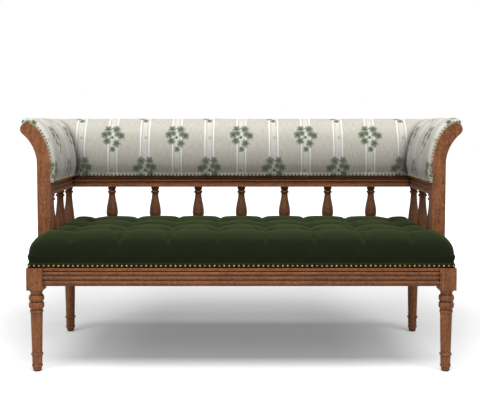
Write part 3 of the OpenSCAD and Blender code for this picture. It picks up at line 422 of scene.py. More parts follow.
@material("striped cloth with sprigs", {"Specular IOR Level": 0.18, "Sheen Weight": 0.18,
                                        "Sheen Roughness": 0.5})
def PRINTED_CLOTH(tree):
    place = get(tree, "UVMap", uv_map=CLOTH_MAP)
    up = split(place)[1]
    threads = use(tree, WEAVE, {"Cloth place": place, "Thread": 0.00075})
    bands = use(tree, STRIPES, {"Cloth place": place})
    plant = use(tree, SPRIG, {"Across": bands["Across"], "Up": up, "Odd": bands["Odd"]})
    lines = step(threads["Thread tone"], 0.36, 0.64)
    ground = blend(lines, srgb(180, 176, 165), srgb(208, 204, 193))
    pale = blend(lines, srgb(196, 196, 190), srgb(220, 220, 214))
    leaf = blend(plant["Shade"], srgb(136, 148, 122), srgb(58, 69, 51))
    # Painted shade, all of it: darker towards the foot of the cloth, more in a band just above the foot, in
    # nooks within 7 cm and beside the nail heads. The sum named dust holds only this painted shade.
    foot = step(up, 0.13, 0.0)
    shade_band = step(up, 0.19, 0.12) * step(up, 0.0, 0.04)
    nook, beside_nails = openness(tree, 0.07, 8), openness(tree, 0.005)
    dust = foot * 0.40 + step(nook, 0.95, 0.45) * 0.5 + step(beside_nails, 0.95, 0.45) * 0.6 + shade_band * 0.20
    colour = ground
    for how_much, laid_over in ((bands["Band"], pale), (bands["White"], srgb(238, 239, 237)),
                                (plant["Stem"], srgb(214, 218, 200)), (plant["Leaves"] * 0.92, leaf),
                                (plant["Flower"] * 0.7, srgb(192, 166, 92)), (dust, srgb(84, 83, 75))):
        colour = blend(how_much, colour, laid_over)
    return {"Base Color": colour, "Roughness": threads["Height"] * -0.12 + 0.86,
            "Normal": bump(threads["Height"], 0.00016, 0.6)}


# %% [markdown]
# ### Velvet
#
# Velvet is a forest of short upright threads. Seen from straight ahead the light falls in
# between them and is lost, so the cloth looks almost black-green. Seen at a slant the tips
# catch the light and it turns a soft mossy green. That is the sheen of velvet: the shader's own
# sheen does part of it, and a Layer Weight mask paints the lit tips into the colour as painted
# sheen. Parts that face up are painted lighter than the sides as well, as light from above would
# make them, so they look lit wherever they are seen from. Where hands have brushed the pile
# it lies another way, so a slow noise moves both masks.

# %% Velvet
@material("green velvet", {"Specular IOR Level": 0.08, "Sheen Weight": 0.15, "Sheen Roughness": 0.5,
                           "Sheen Tint": srgb(160, 176, 108)})
def VELVET(tree):
    place = here(tree)
    pile = noise(place, 1500.0, 2.0, 0.6)
    brushed = noise(vector("MULTIPLY", place, (1.0, 1.6, 1.0)), 7.0, 3.0, 0.55, 0.8) * 0.30 - 0.15
    upward = split(get(tree, "TexCoord", output="Normal"))[2]
    slant = get(tree, "LayerWeight", {"Blend": 0.42}, "Facing")
    # Painted light and painted sheen: faces that turn up are lighter, as if lit from above, and the slant
    # adds the lit tips.
    shown = step(upward + brushed, 0.45, 1.0) * 0.55 + step(slant + brushed, 0.30, 0.95) * 0.45
    deep = blend(pile, srgb(19, 23, 12), srgb(30, 35, 19))
    lit = blend(pile, srgb(34, 42, 22), srgb(46, 56, 30))
    return {"Base Color": blend(shown, deep, lit), "Roughness": pile * 0.10 + 0.82,
            "Normal": bump(pile, 0.0004, 0.5)}


# %% [markdown]
# ### Foam, jute and dust cloth
#
# Nobody sees these once the bench is finished, but a part that is taken apart shows them. Foam
# is a pale sponge with small open cells. Webbing and hessian are both jute, woven coarse. The
# cloth under the seat is thin, black and bonded more than woven.

# %% Hidden materials
@material("seat foam", {"Specular IOR Level": 0.2})
def FOAM(tree):
    place = here(tree)
    cells = get(tree, "TexVoronoi", {"Vector": place, "Scale": 520.0}, "Distance")
    fresh = blend(noise(place, 12.0), srgb(232, 222, 186), srgb(240, 233, 206))
    return {"Base Color": blend(step(cells, 0.62, 0.10), fresh, srgb(190, 176, 132)),
            "Roughness": cells * 0.10 + 0.86, "Normal": bump(cells, 0.0008, 0.8)}


def jute(name, thread, light, dark):
    @material(name, {"Specular IOR Level": 0.15})
    def made(tree):
        threads = use(tree, WEAVE, {"Cloth place": here(tree), "Thread": thread})
        hairy = noise(here(tree), 800.0, 3.0, 0.7)
        tone = (threads["Height"] + hairy) * 0.5
        return {"Base Color": blend(step(tone, 0.25, 0.75), dark, light), "Roughness": hairy * 0.15 + 0.78,
                "Normal": bump(tone, 0.0009, 0.8)}
    return made


WEBBING = jute("jute webbing", 0.0024, srgb(196, 170, 124), srgb(134, 108, 70))
HESSIAN = jute("jute hessian", 0.0016, srgb(182, 158, 116), srgb(118, 96, 62))
DUST_CLOTH = jute("black dust cloth", 0.0009, srgb(40, 40, 42), srgb(18, 18, 19))
print("cloth materials:", [m.name for m in (PRINTED_CLOTH, VELVET, FOAM, WEBBING, HESSIAN, DUST_CLOTH)])

# %% Dress the hard pieces
FINISH_OF_SLOT = {"show_wood_upright": WOOD_UPRIGHT, "show_wood_across": WOOD_ACROSS,
                  "show_wood_along": WOOD_ALONG, "frame_wood": FRAME_WOOD, "plywood": PLYWOOD,
                  "nail_brass": BRASS, "screw_steel": STEEL, "glide_plastic": NYLON}
slot_of = {part["node"]: part["material_slot"] for part in frame["record"]["subparts"]}
hard_pieces = [name for name in cad if slot_of[name] in FINISH_OF_SLOT]
for name in hard_pieces:
    # Balusters take the wood darkened as painted shade, and the back's nails take the brass darkened as
    # painted shade.
    finish = SHADED_BALUSTER_WOOD if "baluster" in name else FINISH_OF_SLOT[slot_of[name]]
    cad[name].data.materials.clear()
    cad[name].data.materials.append(SHADED_BRASS if name == "back_nails" else finish)
print("dressed", len(hard_pieces), "hard pieces")

# %% [markdown]
# ## The rolled section
#
# The back and both arms share one section: straight up from the moulded rail, then leaning out
# in a quarter of an ellipse, and round a small nose at the top. The cloth lies over this with a
# pad between. So the section is made once, as pairs of points: one on the wood, and one on the
# cloth straight above it. Run along the back or along an arm, each pair gives the padding's
# two faces, and the layers in between are shares of the way from one to the other.

# %% Sizes of the roll, in millimetres
def lowest(node, axis):
    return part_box(node)[0][axis] * 1000


def highest(node, axis):
    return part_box(node)[1][axis] * 1000


CORNER_X = (lowest("rear_right_leg", 0) + highest("rear_right_leg", 0)) / 2
CORNER_Y = (lowest("rear_right_leg", 1) + highest("rear_right_leg", 1)) / 2
POST_FRONT, POST_BACK = lowest("right_arm_post", 1), highest("right_arm_post", 1)
RAIL_TOP, POST_HALF = highest("back_rail", 2), 21.75
ROLL_OUT, ROLL_H, FLARE_Z, OUTER_FLARE_Z = 85.0, 150.0, 640.0, 655.0
NOSE_R, NOSE_TURN, SEAM_TURN = 20.5, 80.0, 50.0
PAD_FOOT, PAD_SWELL, PAD_THIN, PAD_FULL = 592.0, 603.0, 10.0, 18.0
CLOTH, SKIN, NAIL_PITCH = 2.0, 5.0, 13.4


def unit(vectors):
    return vectors / np.linalg.norm(vectors, axis=-1, keepdims=True)


def ramp(value, start, end):
    """0 at start and 1 at end, and level outside them."""
    return np.clip((value - start) / (end - start), 0.0, 1.0)


def bell(value, width):
    """1 at nothing, and fading to both sides."""
    return np.exp(-((value / width) ** 2))


def round_point(middle, radius, degrees):
    turn = math.radians(degrees)
    return np.array(middle) + radius * np.array([math.cos(turn), math.sin(turn)])


def curve_point(degrees):
    """A point of the wood's inner curve, in u and z, and the way that it faces."""
    c, s = math.cos(math.radians(degrees)), math.sin(math.radians(degrees))
    point = np.array([ROLL_OUT - POST_HALF - ROLL_OUT * c, FLARE_Z + ROLL_H * s])
    return point, unit(np.array([-c / ROLL_OUT, s / ROLL_H]))


def run_length(points):
    """How far along a line of points each one lies."""
    return np.concatenate([[0.0], np.cumsum(np.linalg.norm(np.diff(points, axis=0), axis=1))])


end_point, end_face = curve_point(NOSE_TURN)
NOSE = end_point - NOSE_R * end_face
NOSE_START = math.degrees(math.atan2(end_face[1], end_face[0]))
hollow_u, hollow_z = NOSE[0] - POST_HALF, NOSE[1] - OUTER_FLARE_Z
HOLLOW_R = (hollow_u**2 + hollow_z**2 - NOSE_R**2) / (2 * (hollow_u + NOSE_R))
HOLLOW = np.array([POST_HALF + HOLLOW_R, OUTER_FLARE_Z])
HOLLOW_TURN = math.degrees(math.atan2(HOLLOW[1] - NOSE[1], HOLLOW[0] - NOSE[0]))
print("nose of the roll at u, z =", NOSE.round(1), "hollow radius", round(HOLLOW_R, 1))

# %% Pairs of points up the inside of the roll
def inside_pairs():
    pairs = [((-POST_HALF, PAD_FOOT + 0.2 * k), (u, PAD_FOOT)) for k, u in enumerate((-22.8, -25.5, -28.4))]
    for k, turn in enumerate((240.0, 210.0, 180.0)):
        pairs.append(((-POST_HALF, PAD_FOOT + 0.8 + 0.8 * k),
                      round_point((-POST_HALF - PAD_THIN + 3.2, PAD_FOOT + 3.2), 3.2, turn)))
    for z in (597.5, 600.0, 603.0, 608.0, 614.0, 620.0, 627.0, 634.0):
        swell = math.sin(math.pi / 2 * max(0.0, z - PAD_SWELL) / (FLARE_Z - PAD_SWELL))
        pairs.append(((-POST_HALF, z), (-POST_HALF - PAD_THIN - (PAD_FULL - PAD_THIN) * swell, z)))
    for turn in np.linspace(0.0, NOSE_TURN, 24):
        point, face = curve_point(turn)
        pairs.append((point, point + PAD_FULL * face))
    for turn in np.linspace(NOSE_START, SEAM_TURN, 13)[1:]:
        share = ((turn - SEAM_TURN) / (NOSE_START - SEAM_TURN)) ** 0.41
        over = CLOTH + (PAD_FULL - CLOTH) * share
        pairs.append((round_point(NOSE, NOSE_R, turn), round_point(NOSE, NOSE_R + over, turn)))
    return [np.array(line) for line in zip(*pairs)]


WOOD_LINE, CLOTH_LINE = inside_pairs()
UP_CLOTH = run_length(CLOTH_LINE)[:, None]
UP_CLOTH = UP_CLOTH - UP_CLOTH[5]
PAD = np.linalg.norm(CLOTH_LINE - WOOD_LINE, axis=1)[:, None]
PAD_WAY = (CLOTH_LINE - WOOD_LINE) / PAD
# The way that the cloth faces is the way of the pad, except where it turns in under the pad
FACE = CLOTH_LINE - WOOD_LINE
FACE[:6] = [(0.0, -1.0), (0.0, -1.0), (-0.3, -0.9), (-0.7, -0.7), (-0.95, -0.3), (-1.0, 0.0)]
FACE = unit(FACE)

# %% Points down the outside
OUTSIDE_LINE = np.array(
    [round_point(NOSE, NOSE_R, turn) for turn in np.linspace(SEAM_TURN - 1, HOLLOW_TURN, 12)]
    + [round_point(HOLLOW, HOLLOW_R, turn) for turn in np.linspace(HOLLOW_TURN + 180, 180, 16)[1:]]
    + [(POST_HALF, z) for z in np.linspace(OUTER_FLARE_Z, RAIL_TOP + 0.4, 7)[1:]])
OUTSIDE_U, DOWN = OUTSIDE_LINE[:, :1], run_length(OUTSIDE_LINE)[:, None]
print("the outside cloth has", len(OUTSIDE_LINE), "points down its section")

# %% [markdown]
# ## Meshes from rows of points
#
# Each soft piece here is a sheet of rows and columns, so a few helpers do all the meshing. One
# makes an object from points and faces and puts the flat cloth map on it. One lays a grid of
# faces over rows of points, and a Solidify modifier then gives a cloth its thickness. One lays
# a grid over a plan, without what is outside it. And one makes a closed slab between two grids,
# for foam.

# %% Mesh helpers
def new_piece(name, points, faces, finish, flat_map=None):
    """An object from points in millimetres. The flat map gives each point's place on its cloth."""
    mesh = bpy.data.meshes.new(name)
    mesh.from_pydata((np.asarray(points) / 1000).tolist(), [], faces)
    mesh.materials.append(finish)
    mesh.polygons.foreach_set("use_smooth", [True] * len(mesh.polygons))
    if flat_map is not None:
        corners = np.zeros(len(mesh.loops), np.int32)
        mesh.loops.foreach_get("vertex_index", corners)
        flat = (np.asarray(flat_map) / 1000)[corners]
        mesh.uv_layers.new(name=CLOTH_MAP).data.foreach_set("uv", flat.ravel())
    piece = bpy.data.objects.new(name, mesh)
    bpy.context.scene.collection.objects.link(piece)
    return piece


def thicken(piece, thick):
    """Gives a cloth its thickness, behind its face."""
    body = piece.modifiers.new("cloth thickness", "SOLIDIFY")
    body.thickness, body.offset = thick / 1000, -1.0
    return piece


def grid_faces(rows, columns, first=0, turned=False):
    at = first + np.arange(rows * columns).reshape(rows, columns)
    quads = np.stack([at[:-1, :-1], at[:-1, 1:], at[1:, 1:], at[1:, :-1]], axis=-1).reshape(-1, 4)
    return (quads[:, ::-1] if turned else quads).tolist()


def plan_grid(lines_x, lines_y, wanted):
    """Places and faces of a flat grid. wanted says of the middles of its faces which ones to keep."""
    x, y = [line.ravel() for line in np.meshgrid(lines_x, lines_y)]
    faces = np.array(grid_faces(len(lines_y), len(lines_x)))
    faces = faces[wanted(x[faces].mean(axis=1), y[faces].mean(axis=1))]
    used, faces = np.unique(faces, return_inverse=True)
    return x[used], y[used], faces.reshape(-1, 4).tolist()


def cloth_grid(name, points, flat_map, outward, finish=PRINTED_CLOTH, thick=1.8):
    """A sheet of cloth over a grid of points, with its face towards outward."""
    rows, columns = points.shape[:2]
    j, i = rows // 2, columns // 2
    way = np.cross(points[j, i + 1] - points[j, i], points[j + 1, i] - points[j, i])
    faces = grid_faces(rows, columns, turned=float(np.dot(way, outward)) < 0)
    return thicken(new_piece(name, points.reshape(-1, 3), faces, finish, flat_map.reshape(-1, 2)), thick)


def slab(name, near, far, finish):
    """A closed piece between two grids of the same size."""
    rows, columns = near.shape[:2]
    count = rows * columns
    way = np.cross(near[0, 1] - near[0, 0], near[1, 0] - near[0, 0])
    turned = float(np.dot(way, near[0, 0] - far[0, 0])) < 0
    faces = grid_faces(rows, columns, 0, turned) + grid_faces(rows, columns, count, not turned)
    at = np.arange(count).reshape(rows, columns)
    rim = np.concatenate([at[0, :], at[1:, -1], at[-1, -2::-1], at[-2:0:-1, 0]])
    for one, two in zip(rim, np.roll(rim, -1)):
        side = [int(one), int(one + count), int(two + count), int(two)]
        faces.append(side[::-1] if turned else side)
    return new_piece(name, np.concatenate([near.reshape(-1, 3), far.reshape(-1, 3)]), faces, finish)


def taken_out(shape):
    """The points and faces of a bmesh, which is done with."""
    shape.verts.index_update()
    result = [v.co[:] for v in shape.verts], [[v.index for v in f.verts] for f in shape.faces]
    shape.free()
    return np.array(result[0]), result[1]


def area_of(piece):
    """The area of a cloth's face in square metres, before its thickness."""
    return sum(p.area for p in piece.data.polygons)


print("mesh helpers are ready")

# %% [markdown]
# ## Laying the section along the back and the arms
#
# The cloth isn't quite smooth. Each nail pulls a small dimple along the foot and leaves a puff
# between it and the next. At the corners, where the back's cloth meets an arm's at a mitre, the
# seam draws both of them in. And hand-laid padding is never dead even, so a slow wave of under
# a millimetre runs over it.

# %% How far the padding stands out at each place
SEAM_LAP, SEAM_REACH = 1.2, 6.0
SIDES = (("right", 1.0), ("left", -1.0))


def padding_swell(along, to_corner):
    """Millimetres outwards, from how far along the cloth, and how far from the corner seam."""
    up = UP_CLOTH
    wave = 0.5 * np.sin(along * 0.021 + up * 0.017) + 0.35 * np.sin(along * 0.047 - up * 0.031 + 1.3)
    between = 0.5 - 0.5 * np.cos(2 * math.pi * along / NAIL_PITCH)
    puff = (1.1 * between - 0.5) * bell(up - 9.0, 9.0)
    seam = -2.6 * bell(to_corner, 5.0) - 2.2 * np.exp(-to_corner / 22.0)
    return (wave + puff + seam) * ramp(up, 2.0, 8.0) * ramp(up[-1] - up, 0.0, 12.0)


def across_back(u, z, x):
    return np.stack([x, CORNER_Y + u, z], axis=-1)


def across_arm(side):
    return lambda u, z, y: np.stack([side * (CORNER_X + u), y, z], axis=-1)


def arm_flat(side):
    """How far along its cloth a place on an arm is, counted on from the back's."""
    return lambda y: side * (CORNER_X + CORNER_Y - y)


def off(line, ways, out):
    """The u and z of a line moved out along its ways."""
    return line[:, :1] + out * ways[:, :1], line[:, 1:] + out * ways[:, 1:]


def lay(place, swell, columns, to_corner, flat_of):
    """Points and flat map of the cloth's line run over columns that follow the mitre. Where the
    seam draws the padding in, the mitre moves with it, so the two cloths still meet there."""
    follow = (swell * FACE[:, :1] + SEAM_LAP) * np.exp(-to_corner / SEAM_REACH)
    along = columns + np.sign(columns) * follow
    flat = np.stack([flat_of(along), np.broadcast_to(UP_CLOTH, along.shape)], axis=-1)
    return place(*off(CLOTH_LINE, FACE, swell), along), flat


def to_mitre(steady, corner, count):
    """Steady places for each row of the section, and more that close up towards the mitre."""
    ends = corner + CLOTH_LINE[:, :1]
    share = 1 - (1 - np.linspace(0.0, 1.0, count)[1:]) ** 1.5
    return np.broadcast_to(steady, (len(ends), len(steady))), steady[-1] + (ends - steady[-1]) * share


# %% Back, inside
steady, right = to_mitre(NAIL_PITCH / 2 * np.arange(-90, 91), CORNER_X, 12)
back_columns = np.concatenate([-right[:, ::-1], steady, right], axis=1)
to_corner = (CORNER_X + CLOTH_LINE[:, :1]) - np.abs(back_columns)
back_swell = padding_swell(back_columns, to_corner)
back_cloth = cloth_grid("back_inside_cloth",
                        *lay(across_back, back_swell, back_columns, to_corner, lambda x: x), (0.0, -1.0, 0.3))
print("back cloth:", len(back_cloth.data.polygons), "faces,", round(area_of(back_cloth), 3), "square metres")

# %% [markdown]
# ### The front edge of an arm
#
# At the post the arm's cloth turns round the end of the padding and is nailed flat against the
# post. The same grid takes this turn: its first columns start at the wood, cross the end of the
# padding, and go round an edge that is rounder where the padding is thicker.

# %% Arms, inside
ARM_COLUMNS = np.concatenate(to_mitre(POST_FRONT + NAIL_PITCH / 2 * np.arange(1, 57), CORNER_Y, 10), axis=1)
ARM_END = CORNER_Y + CLOTH_LINE[:, :1]


def arm_cloth(word, side):
    place, flat_of = across_arm(side), arm_flat(side)
    radius = np.clip(PAD - 8.5, 1.2, 8.0)
    columns = np.maximum(ARM_COLUMNS, POST_FRONT + radius + 0.005 * np.arange(1, ARM_COLUMNS.shape[1] + 1))
    to_corner = ARM_END - columns
    points, flat = lay(place, padding_swell(columns - POST_FRONT, to_corner), columns, to_corner, flat_of)
    edge = [((PAD - radius) * share, 0 * PAD) for share in (0.0, 0.35, 0.7, 1.0)]
    edge += [(PAD - radius + radius * math.sin(turn), radius * (1 - math.cos(turn)))
             for turn in np.radians((22.0, 45.0, 68.0, 90.0))]
    rows = [place(*off(WOOD_LINE, PAD_WAY, out), POST_FRONT + back) for out, back in edge]
    flat_rows = [np.stack([flat_of(POST_FRONT + back) + side * (PAD - out), UP_CLOTH], axis=-1)
                 for out, back in edge]
    return cloth_grid(f"{word}_arm_inside_cloth", np.concatenate([*rows, points], axis=1),
                      np.concatenate([*flat_rows, flat], axis=1), (-side, 0.0, 0.3))


arm_cloths = [arm_cloth(word, side) for word, side in SIDES]
print("arm cloths:", round(area_of(arm_cloths[0]), 3), "square metres each")

# %% [markdown]
# ### The outside
#
# The outside cloth starts at a seam on the nose, follows the hollow under the roll and ends on
# the moulded rail. It is stretched over card and has no padding, so it only ripples a little.

# %% Outside cloths
OUTSIDE_COLUMNS, LIES_BACK, RIPPLE = 90, 0.35, 0.3


def outside_cloth(name, place, first, last, flat_of, outward):
    columns = first + (last - first) * np.linspace(0.0, 1.0, OUTSIDE_COLUMNS)
    ripple = -LIES_BACK + RIPPLE * np.sin(columns * 0.03 + DOWN * 0.05) * ramp(DOWN, 0.0, 20.0)
    slope = np.gradient(OUTSIDE_LINE, axis=0)
    ways = unit(np.stack([-slope[:, 1], slope[:, 0]], axis=-1))
    up = np.broadcast_to(REPEAT * 1000 + DOWN[-1] - DOWN, columns.shape)
    return cloth_grid(name, place(*off(OUTSIDE_LINE, ways, ripple), columns),
                      np.stack([-flat_of(columns), up], axis=-1), outward)


back_outside = outside_cloth("back_outside_cloth", across_back, -(CORNER_X + OUTSIDE_U), CORNER_X + OUTSIDE_U,
                             lambda x: x, (0.0, 1.0, 0.0))
arm_outsides = [outside_cloth(f"{word}_arm_outside_cloth", across_arm(side), POST_BACK + 0.3 + 0 * OUTSIDE_U,
                              CORNER_Y + OUTSIDE_U, arm_flat(side), (side, 0.0, 0.0)) for word, side in SIDES]
print("outside cloths:", [round(area_of(o), 3) for o in (back_outside, *arm_outsides)])

# %% Foam under the back and the arms
FOAM_ROWS, SKIN_ENDS = slice(6, len(CLOTH_LINE) - 3), len(CLOTH_LINE) - 12
OVER_SKIN, OVER_WOOD, UNDER_CLOTH, LEAST_FOAM = 0.3, 0.6, 0.5, 0.4


def foam_pad(name, place, columns, swell):
    over_skin = (np.arange(len(CLOTH_LINE)) < SKIN_ENDS)[:, None]
    inner = np.where(over_skin, SKIN + OVER_SKIN, OVER_WOOD)
    outer = np.maximum(PAD - CLOTH - UNDER_CLOTH + np.minimum(swell, 0.0), inner + LEAST_FOAM)
    near, far = [place(*off(WOOD_LINE, PAD_WAY, np.broadcast_to(out, outer.shape)), columns)[FOAM_ROWS]
                 for out in (outer, inner)]
    return slab(name, near, far, FOAM)


arm_places = np.maximum(ARM_COLUMNS, POST_FRONT + 4.0)[:, 1:]
arm_places = arm_places - 1.5 * np.linspace(0.0, 1.0, arm_places.shape[1])
arm_swell = padding_swell(arm_places - POST_FRONT, ARM_END - arm_places)
back_foam = foam_pad("back_foam_pad", across_back, back_columns * 0.997, back_swell)
arm_foams = [foam_pad(f"{word}_arm_foam_pad", across_arm(side), arm_places, arm_swell)
             for word, side in SIDES]
print("foam pads:", back_foam.name, [o.name for o in arm_foams])

# %% [markdown]
# ## The tufted seat
#
# The seat is a T-shaped cushion, wide in front of the posts and narrower between the balusters.
# Twenty-four buttons pull it down in three rows. The lines between them dip less, so square
# pillows stand up in between. Its sides are drawn in just above a band that is nailed to the
# rails. A modeller could push and pull a subdivided box into this, but the spacing would
# wander. Here a height rule gives the pillows and the rolled edge, and a mesh laid on lines
# through the buttons keeps them sharp. After that a cloth simulation blows the cover out a
# little against its held-down points, as the filling does, and that gives the strained, uneven
# look no rule has.

# %% The seat's sizes and lines
SEAT_X, SEAT_IN_X = highest("seat_cover", 0), CORNER_X - POST_HALF - 0.5
SEAT_FRONT, SEAT_NOTCH, SEAT_REAR = lowest("seat_cover", 1), POST_FRONT - 0.5, highest("seat_cover", 1)
SEAT_TOP, SIDE_TOP = 441.5, 372.0
FRONT_ROLL, END_ROLL, HELD_ROLL = 92.0, 75.0, 24.0
SEAT_FOOT, FOAM_TOP = lowest("seat_cover", 2), highest("seat_foam", 2)
TUFT_X, TUFT_Y, TUFT_COLUMNS, TUFT_ROWS = 154.0, 149.0, 8, 3
TUFT_FIRST_X, TUFT_FIRST_Y = -TUFT_X * (TUFT_COLUMNS - 1) / 2, lowest("seat_buttons", 1) + 8.0
LINE_DIP, TUFT_DIP, LINE_FADE, PILLOW_POWER = 10.0, 18.0, 0.6, 0.8
NEAR_EDGE, EDGE_STRIP, TOO_NEAR, TO_A_PITCH = (0.0, 1.2, 4.0, 9.0, 15.0, 22.0), 24.0, 2.6, 20
SOFT_CORNER, SOFT_HELD = 0.45, 0.25


def lines(first, pitch, steps, low, high, edges):
    """Steady lines, twenty to a pitch, with the edge lines. Too near an edge line there are none."""
    steady = [first + pitch / TO_A_PITCH * k for k in steps]
    kept = [v for v in steady if low + EDGE_STRIP < v < high - EDGE_STRIP
            and all(abs(v - e) > TOO_NEAR for e in edges)]
    return np.array(sorted(kept + edges))


x_edges = [side * (SEAT_X - d) for side in (-1, 1) for d in NEAR_EDGE]
x_edges += [side * (SEAT_IN_X - d) for side in (-1, 1) for d in NEAR_EDGE[:5]]
y_edges = [SEAT_FRONT + d for d in NEAR_EDGE] + [SEAT_REAR - d for d in NEAR_EDGE]
y_edges += [SEAT_NOTCH - d for d in NEAR_EDGE[:4]]
seat_lines_x = lines(0.0, TUFT_X, range(-86, 87), -SEAT_X, SEAT_X, x_edges)
seat_lines_y = lines(TUFT_FIRST_Y, TUFT_Y, range(-15, 52), SEAT_FRONT, SEAT_REAR, y_edges)
print("the seat's mesh has", len(seat_lines_x), "by", len(seat_lines_y), "lines")


# %% Height of the seat
def soft_least(a, b, width):
    """The smaller of two numbers, with a rounded change from one to the other."""
    near = np.maximum(width - np.abs(a - b), 0.0) / width
    return np.minimum(a, b) - near * near * width / 4


def edge_share(x, y):
    """How far in from the edge of the T a place is, as a share of the roll at that edge.
    The roll is wide in front, and tight where posts and balusters hold the cushion."""
    across = np.abs(x)
    corner = np.hypot(np.maximum(SEAT_IN_X - across, 0), np.maximum(SEAT_NOTCH - y, 0))
    held = np.where(across > SEAT_IN_X, SEAT_NOTCH - y, np.where(y > SEAT_NOTCH, SEAT_IN_X - across, corner))
    share = soft_least((SEAT_X - across) / END_ROLL, (y - SEAT_FRONT) / FRONT_ROLL, SOFT_CORNER)
    share = soft_least(share, (SEAT_REAR - y) / HELD_ROLL, SOFT_CORNER)
    return np.clip(soft_least(share, held / HELD_ROLL, SOFT_HELD), 0.0, 1.0)


def wave(distance, pitch, last):
    """0 at each button line and 1 halfway between, and 1 outside the outer lines. The power
    flattens the pillows a little."""
    outside = (distance < -pitch / 2) | (distance > last + pitch / 2)
    return np.where(outside, 1.0, np.abs(np.sin(math.pi * distance / pitch)) ** PILLOW_POWER)


def line_left(past, pitch):
    """The lines fade out between the outer buttons and the edge of the cushion."""
    return 1 - LINE_FADE * np.clip(2 * past / pitch, 0, 1)


def seat_height(x, y):
    share, deep = edge_share(x, y), TUFT_Y * (TUFT_ROWS - 1)
    wx = wave(x - TUFT_FIRST_X, TUFT_X, TUFT_X * (TUFT_COLUMNS - 1))
    wy = wave(y - TUFT_FIRST_Y, TUFT_Y, deep)
    left = line_left(np.abs(x) + TUFT_FIRST_X, TUFT_X) * line_left(TUFT_FIRST_Y - y, TUFT_Y)
    left = left * line_left(y - TUFT_FIRST_Y - deep, TUFT_Y)
    drop = TUFT_DIP * (1 - wx) * (1 - wy) + LINE_DIP * (1 - wx * wy) * left
    return SIDE_TOP + (SEAT_TOP - SIDE_TOP - drop) * np.sqrt(1 - (1 - share) ** 2)


# %% Mesh of the seat's cover
TOUCH = 0.01
# Height of each ring down the side, how far it stands out, and the radius of its plan corners
SIDE_RINGS = ((367.5, -0.1, 14), (363.0, -0.6, 14), (359.0, -1.7, 13), (355.5, -3.3, 12), (352.5, -4.9, 11),
              (350.2, -5.3, 9), (348.4, -4.2, 8), (347.0, -2.0, 7), (345.8, -1.1, 6), (343.5, -0.8, 6),
              (340.0, -1.1, 6), (336.5, -0.8, 6), (334.2, -1.1, 6), (333.2, -2.4, 6))


def round_corners(x, y, radius):
    """Moves places near the six outer corners of the T onto a round corner."""
    for cx, cy, way_y in ((SEAT_X, SEAT_FRONT, 1), (SEAT_X, SEAT_NOTCH, -1), (SEAT_IN_X, SEAT_REAR, -1)):
        for side in (-1, 1):
            a, b = radius - (cx - side * x), radius - way_y * (y - cy)
            inside = (a > 0) & (b > 0)
            shrink = np.where(inside, np.maximum(a, b) / np.maximum(np.hypot(a, b), 1e-6), 1.0)
            x = np.where(inside, side * (cx - radius + a * shrink), x)
            y = np.where(inside, cy + way_y * (radius - b * shrink), y)
    return x, y


def facing(x, y):
    """Which way a side of the T faces, from a place on the edge of its plan."""
    held = abs(x) > SEAT_IN_X - TOUCH
    to_side = abs(x) > SEAT_X - TOUCH or (held and y > SEAT_NOTCH - TOUCH)
    to_rear = y > SEAT_REAR - TOUCH or (held and abs(y - SEAT_NOTCH) < TOUCH)
    return to_side * math.copysign(1, x), -1 if y < SEAT_FRONT + TOUCH else int(to_rear)


def seat_mesh():
    """Points and faces of the top and sides, and the ring of points along the foot."""
    shape = bmesh.new()
    gx, gy = [grid.ravel() for grid in np.meshgrid(seat_lines_x, seat_lines_y)]
    grid = [shape.verts.new((x, y, 0.0)) for x, y in zip(*round_corners(gx, gy, 14.0))]
    on_plan = dict(zip(grid, zip(gx, gy)))
    for quad in grid_faces(len(seat_lines_y), len(seat_lines_x)):
        if abs(gx[quad].mean()) < SEAT_IN_X or gy[quad].mean() < SEAT_NOTCH:
            shape.faces.new([grid[k] for k in quad])
    for v in [v for v in shape.verts if not v.link_faces]:
        on_plan.pop(v)
        shape.verts.remove(v)
    heights = seat_height(np.array([v.co.x for v in on_plan]), np.array([v.co.y for v in on_plan]))
    for v, z in zip(on_plan, heights):
        v.co.z = SIDE_TOP if v.is_boundary else z
    edges = [e for e in shape.edges if e.is_boundary]
    last = {v: v for e in edges for v in e.verts}
    ways = [facing(*on_plan[v]) for v in last]
    plan_x, plan_y = [np.array(line) for line in zip(*[on_plan[v] for v in last])]
    for z, out, radius in SIDE_RINGS:
        places = zip(last, ways, *round_corners(plan_x, plan_y, float(radius)))
        ring = {v: shape.verts.new((x + out * way_x, y + out * way_y, z))
                for v, (way_x, way_y), x, y in places}
        for a, b in [e.verts for e in edges]:
            shape.faces.new((last[a], last[b], ring[b], ring[a]))
        last = ring
    bmesh.ops.recalc_face_normals(shape, faces=shape.faces)
    if sum(f.normal.z for f in shape.faces) < 0:
        bmesh.ops.reverse_faces(shape, faces=shape.faces)
    shape.verts.index_update()
    foot = [(last[e.verts[0]].index, last[e.verts[1]].index) for e in edges]
    return *taken_out(shape), foot


seat_points, seat_faces, seat_foot = seat_mesh()
print("seat cover:", len(seat_points), "points and", len(seat_faces), "faces")

# %% [markdown]
# ### Filling the cushion
#
# Hair and foam press the velvet out between the buttons, and the velvet, which is cut a little
# large, strains and creases towards them. The cloth simulation does the same: points at the
# buttons and at the nailed foot are held, gravity is off, and a pressure from inside works for
# twenty frames. Then no point may have moved further than a few millimetres, and none past the
# posts and balusters. Only the moved points are kept, so nothing is left to simulate later.

# %% Press the cover out with a cloth simulation
MOST_MOVE, FRAMES, CLEAR_HELD, CLEAR_FREE = 5.0, 20, 0.2, 1.2
HELD_ROUND, HELD_OVER, NAILED_UNDER = 11.0, 400.0, 353.0
FILLING = {"quality": 6, "mass": 0.35, "air_damping": 2.0, "tension_stiffness": 18.0,
           "compression_stiffness": 18.0, "shear_stiffness": 6.0, "bending_stiffness": 0.6,
           "shrink_min": -0.03, "use_pressure": True, "uniform_pressure_force": 4.0}


